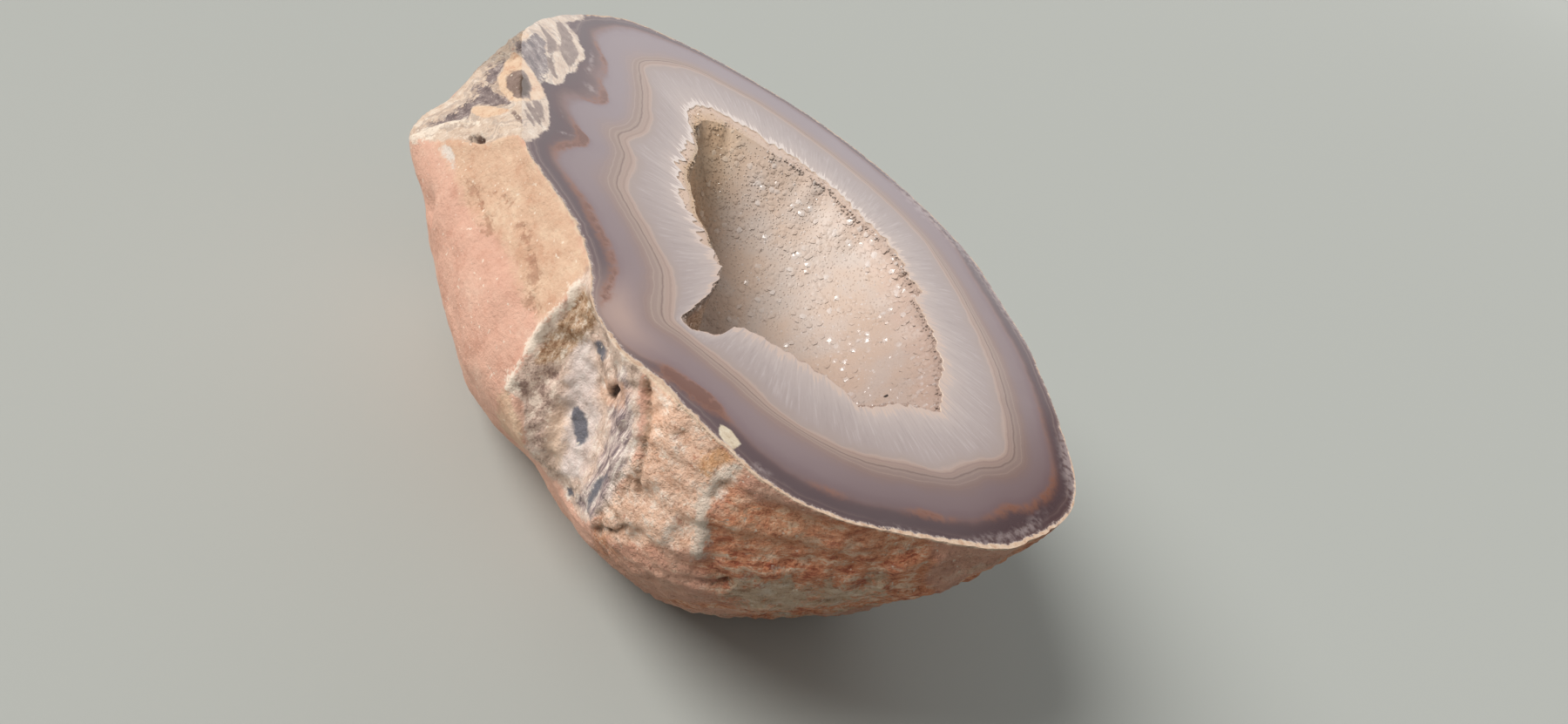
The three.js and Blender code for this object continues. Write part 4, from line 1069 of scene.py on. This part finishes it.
def makeFaceMaterial():
    # the number of the band is made to wander a little, and picks the colour
    material, make = newMaterial("polishedFace")
    place = make.where["place"]
    band = make.number("band")
    wander = make.maths("SUBTRACT", make.noise(place, 3.2, 3.0, 0.55), 0.5)
    flutter = make.maths("SUBTRACT", make.noise(place, 0.9, 3.0, 0.6), 0.5)
    moved = make.line(flutter, 0.035, make.line(wander, 0.2, band))
    colour = make.ramp(moved, faceColours)

    # lines of growth: paler and darker in the order that the bands were laid, strongest in the tan ones
    lines = make.rings(moved, 4.5, 0.6)
    tanZone = make.times(make.stepped(moved, 1.8, 2.1), make.stepped(moved, 2.9, 3.05, 1.0, 0.0))
    paler = make.line(tanZone, 0.2, make.stepped(moved, 0.75, 0.9, 0.14, 0.0))
    colour = make.mixed(make.stepped(lines, 0.5, 0.66), colour, (204, 182, 166), paler)
    colour = make.mixed(make.stepped(lines, 0.34, 0.48, 1.0, 0.0), colour, (98, 72, 66), paler)
    # painted shade: these spots darken the outermost band strongly and the bands out to the tan ones
    # faintly
    outermost = make.stepped(moved, 0.75, 1.1, 0.5, 0.0)
    paintedShadeShare = make.maths("ADD", outermost, make.stepped(moved, 2.6, 3.1, 0.24, 0.0))
    colour = make.mixed(make.number("paintedShade"), colour, (74, 42, 46), paintedShadeShare)
    hazeShare = make.stepped(moved, 1.3, 2.1, 0.9, 0.0)
    colour = make.mixed(make.number("haze"), colour, (176, 146, 134), hazeShare)

    # the lavender band is bluer towards the near left, and painted shade darkens the bands outside the
    # quartz towards the right end
    across = make.add("SeparateXYZ", {0: place})
    lavender = make.times(make.stepped(moved, 0.95, 1.2), make.stepped(moved, 1.9, 2.3, 1.0, 0.0))
    bluer = make.stepped(across, -40.0, 15.0, 0.22, 0.0)
    colour = make.mixed(lavender, colour, (178, 172, 180), bluer)
    # painted shade: darker towards the right end
    rightEndShade = make.times(make.stepped(moved, 2.7, 3.1, 1.0, 0.0), make.stepped(across, 33.0, 56.0))
    colour = make.mixed(rightEndShade, colour, (222, 212, 212), 1.0, "MULTIPLY")

    # fibres of quartz that run straight from the tan bands to the hollow, and end in its pale teeth
    slow = make.add("CombineXYZ", {"Z": make.times(moved, 1.3)})
    along = make.add("VectorMath", {0: make.number("foot", "Vector"), 1: slow}, operation="ADD")
    fibre = make.noise(along, 0.55, 4.0, 0.62)
    zone = make.stepped(moved, 3.02, 3.3)
    colour = make.mixed(make.stepped(fibre, 0.5, 0.7), colour, (216, 204, 202), make.times(zone, 0.21))
    dark = make.stepped(fibre, 0.3, 0.47, 1.0, 0.0)
    colour = make.mixed(dark, colour, (146, 130, 128), make.times(zone, 0.35))
    tooth = make.line(make.maths("SUBTRACT", fibre, 0.5), 0.75, band)
    tipColour = make.mixed(make.stepped(across, -18.0, 14.0), (226, 212, 204), (202, 176, 160))
    colour = make.mixed(make.stepped(tooth, 3.87, 3.93), colour, tipColour, 0.8)

    # orange stain along the seam, darker in its middle, and pale clouds
    spotted = make.stepped(make.noise(place, 1.3, 4.0, 0.65), 0.3, 0.62, 0.6, 1.35)
    stained = make.times(make.number("stain"), spotted)
    colour = make.mixed(make.stepped(stained, 0.15, 0.9, 0.0, 0.62), colour, (142, 84, 50))
    colour = make.mixed(make.stepped(stained, 0.6, 1.2, 0.0, 0.75), colour, (102, 54, 34))
    cloudy = make.stepped(make.noise(place, 1.1, 3.0, 0.6), 0.3, 0.65, 0.2, 1.2)
    pale = make.times(make.number("pale"), cloudy)
    colour = make.mixed(make.stepped(pale, 0.1, 1.0, 0.0, 0.5), colour, (186, 170, 168))

    # the veined corner, the chip, and the cream rind with its white teeth
    colour = cornerColours(make, colour)
    colour = make.overlay(colour, [("chip", 0.12, 0.15, 1.0, "chip")])
    coarse = make.line(make.noise(place, 1.5, 4.0, 0.7), 1.5, -0.75)
    rindDepth = make.maths("ADD", coarse, make.number("rind"))
    teeth = make.line(make.noise(place, 0.35, 1.0), 1.1, rindDepth)
    colour = make.mixed(make.stepped(teeth, 0.3, 0.65, 0.0, 0.7), colour, (196, 178, 170))
    rind = make.stepped(rindDepth, -0.1, 0.15)
    colour = make.mixed(rind, colour, "rind")

    # the polish, dull and slightly uneven on the rind
    gloss = make.line(rind, 0.4, make.stepped(make.noise(place, 14, 3.0), 0.3, 0.7, 0.16, 0.24))
    height = make.times(make.noise(place, 0.3), rind)
    relief = make.add("Bump", {"Strength": 0.4, "Distance": 0.0002, "Height": height})
    make.shade({"Base Color": colour, "Roughness": gloss, "Normal": relief, "IOR": 1.54})
    return material


def makeHollowMaterial():
    # the stone's own wall, hidden under the crystals
    material, make = newMaterial("hollowWall")
    make.shade({"Base Color": make.patches("hollow"), "Roughness": 0.5})
    return material


# The quartz points: milky, warm, whiter and tan where they reach the face

# two of these tints are painted shade: one darkens the east end, one warms the shaded near left side
quartzColours = {
    "deep": (212, 189, 172), "middle": (210, 194, 183), "tan": (216, 190, 174), "white": (238, 228, 222),
    "dull": (196, 172, 155), "east": (208, 202, 202), "warm": (255, 242, 220), "speck": (40, 30, 26),
}
quartzShine = {
    "Roughness": 0.4, "Specular IOR Level": 0.35, "Coat Roughness": 0.06, "Coat IOR": 1.54,
}


def makeQuartzMaterial():
    # the colour of each crystal by its tone, its distance from the edge and its side of the hollow, with
    # painted shade towards the hollow's east end
    material, make = newMaterial("quartzPoints")
    place = make.where["place"]
    tints, tone = quartzColours, make.number("tone")
    fromEdge = make.line(make.noise(place, 1.6, 3.0), 3.0, make.number("fromEdge"))
    colour = make.mixed(make.stepped(make.noise(place, 7, 3.0), 0.35, 0.65), tints["deep"], tints["middle"])
    colour = make.mixed(make.stepped(fromEdge, 2.2, 4.6, 1.0, 0.0), colour, tints["tan"], 0.8)
    colour = make.mixed(make.stepped(tone, 0.75, 1.0, 0.0, 0.6), colour, tints["white"])
    colour = make.mixed(make.stepped(tone, 0.0, 0.3, 0.25, 0.0), colour, tints["dull"])
    # painted shade: darker towards the hollow's east end
    eastShadeShare = make.stepped(make.add("SeparateXYZ", {0: place}), -14.0, 32.0)
    colour = make.mixed(eastShadeShare, colour, tints["east"], 1.0, "MULTIPLY")

    # painted warm shade under the near left side, where the wall lies in shade, and one dark speck
    warmShade = make.stepped(make.dotted(place, (-0.45, -0.76, 0.0)), 3.0, 12.0)
    fromRim = make.stepped(fromEdge, 2.0, 4.5, 0.25, 1.0)
    colour = make.mixed(warmShade, colour, tints["warm"], fromRim, "MULTIPLY")
    fromSpeck = make.add("VectorMath", {0: place, 1: (26.1, 7.8, 38.6)}, "Value", operation="DISTANCE")
    colour = make.mixed(make.stepped(fromSpeck, 0.3, 0.5, 1.0, 0.0), colour, tints["speck"])

    # light that wanders through the crystals evens their shading out: 1.8 parts of the calm direction to
    # one part of the true one, under a clear coat that glints on some of the faces
    calm = make.add("VectorTransform", {0: make.number("calm", "Vector")},
                    vector_type="NORMAL", convert_from="OBJECT", convert_to="WORLD")
    true = make.add("NewGeometry", {}, "True Normal")
    evened = make.add("VectorMath", {0: calm, 1: (1.8, 1.8, 1.8), 2: true}, operation="MULTIPLY_ADD")
    evened = make.add("VectorMath", {0: evened}, operation="NORMALIZE")
    glints = make.stepped(tone, 0.8, 0.86)
    make.shade({"Base Color": colour, "Normal": evened, "Coat Weight": glints, **quartzShine})
    return material


# The camera, the floor and the light

view = {"lens": 28.0, "sensor": 36.0, "azimuth": 39.0, "elevation": 32.6, "roll": 34.0}


def placeCamera():
    # looking down at the elevation, then rolled about its own line of sight
    a, e, r = (math.radians(view[key]) for key in ("azimuth", "elevation", "roll"))
    right = np.array([math.cos(a), math.sin(a), 0])
    up = np.array([-math.sin(a) * math.sin(e), math.cos(a) * math.sin(e), math.cos(e)])
    across = math.cos(r) * right + math.sin(r) * up
    top = -math.sin(r) * right + math.cos(r) * up
    camera = bpy.data.objects.new("camera", bpy.data.cameras.new("camera"))
    camera.data.lens, camera.data.sensor_width = view["lens"], view["sensor"]
    camera.data.clip_start = 0.01
    turn = Matrix(np.stack([across, top, np.cross(across, top)], 1).tolist()).to_4x4()
    camera.matrix_world = Matrix.Translation(Vector(((eyePlace + shift) / 1000).tolist())) @ turn
    bpy.context.scene.collection.objects.link(camera)
    bpy.context.scene.camera = camera


def makeFloor():
    # a wide pale square that isn't part of the object
    reach = 8.0
    mesh = bpy.data.meshes.new("floor")
    corners = [(-reach, -reach, 0), (reach, -reach, 0), (reach, reach, 0), (-reach, reach, 0)]
    mesh.from_pydata(corners, [], [(0, 1, 2, 3)])
    floor = bpy.data.objects.new("floor", mesh)
    bpy.context.scene.collection.objects.link(floor)
    material = bpy.data.materials.new("paleFloor")
    material.use_nodes = True
    shader = material.node_tree.nodes["Principled BSDF"]
    shader.inputs["Base Color"].default_value = rgb(184, 187, 182)
    shader.inputs["Roughness"].default_value = 0.9
    mesh.materials.append(material)


def addLight(name, direction, distance, size, power, colour):
    # a soft light that looks at the middle of the stone: a pane, width by height, or a wide part of the sky
    light = bpy.data.lights.new(name, "AREA" if size else "SUN")
    if size:
        light.shape = "RECTANGLE"
        light.size, light.size_y = size
    else:
        light.angle = math.radians(36)
    light.energy, light.color = power, colour
    lamp = bpy.data.objects.new(name, light)
    towards = Vector(direction).normalized()
    lamp.location = towards * distance + Vector((0, 0, 0.03))
    lamp.rotation_euler = towards.to_track_quat("Z", "Y").to_euler()
    bpy.context.scene.collection.objects.link(lamp)


def makeLight():
    # a window from the left, a pale wall behind that shows faintly in the polish, and a soft room
    world = bpy.data.worlds.new("softRoom")
    world.use_nodes = True
    world.node_tree.nodes["Background"].inputs[0].default_value = (1.0, 0.99, 0.97, 1)
    world.node_tree.nodes["Background"].inputs[1].default_value = 0.27
    bpy.context.scene.world = world
    bpy.context.scene.view_settings.view_transform = "Standard"
    addLight("brightSky", (-0.5, -0.88, 0.82), 2.4, None, 3.3, (1.0, 0.985, 0.96))
    addLight("paleWall", (-0.70, 0.60, 0.42), 6.0, (4.6, 3.2), 58, (0.97, 0.98, 1.0))


placeCamera()
makeFloor()
makeLight()
stonePiece = makeStone()
for material in (makeOutsideMaterial(), makeFaceMaterial(), makeHollowMaterial()):
    stonePiece.data.materials.append(material)
drusePiece = makeDruse()
drusePiece.data.materials.append(makeQuartzMaterial())
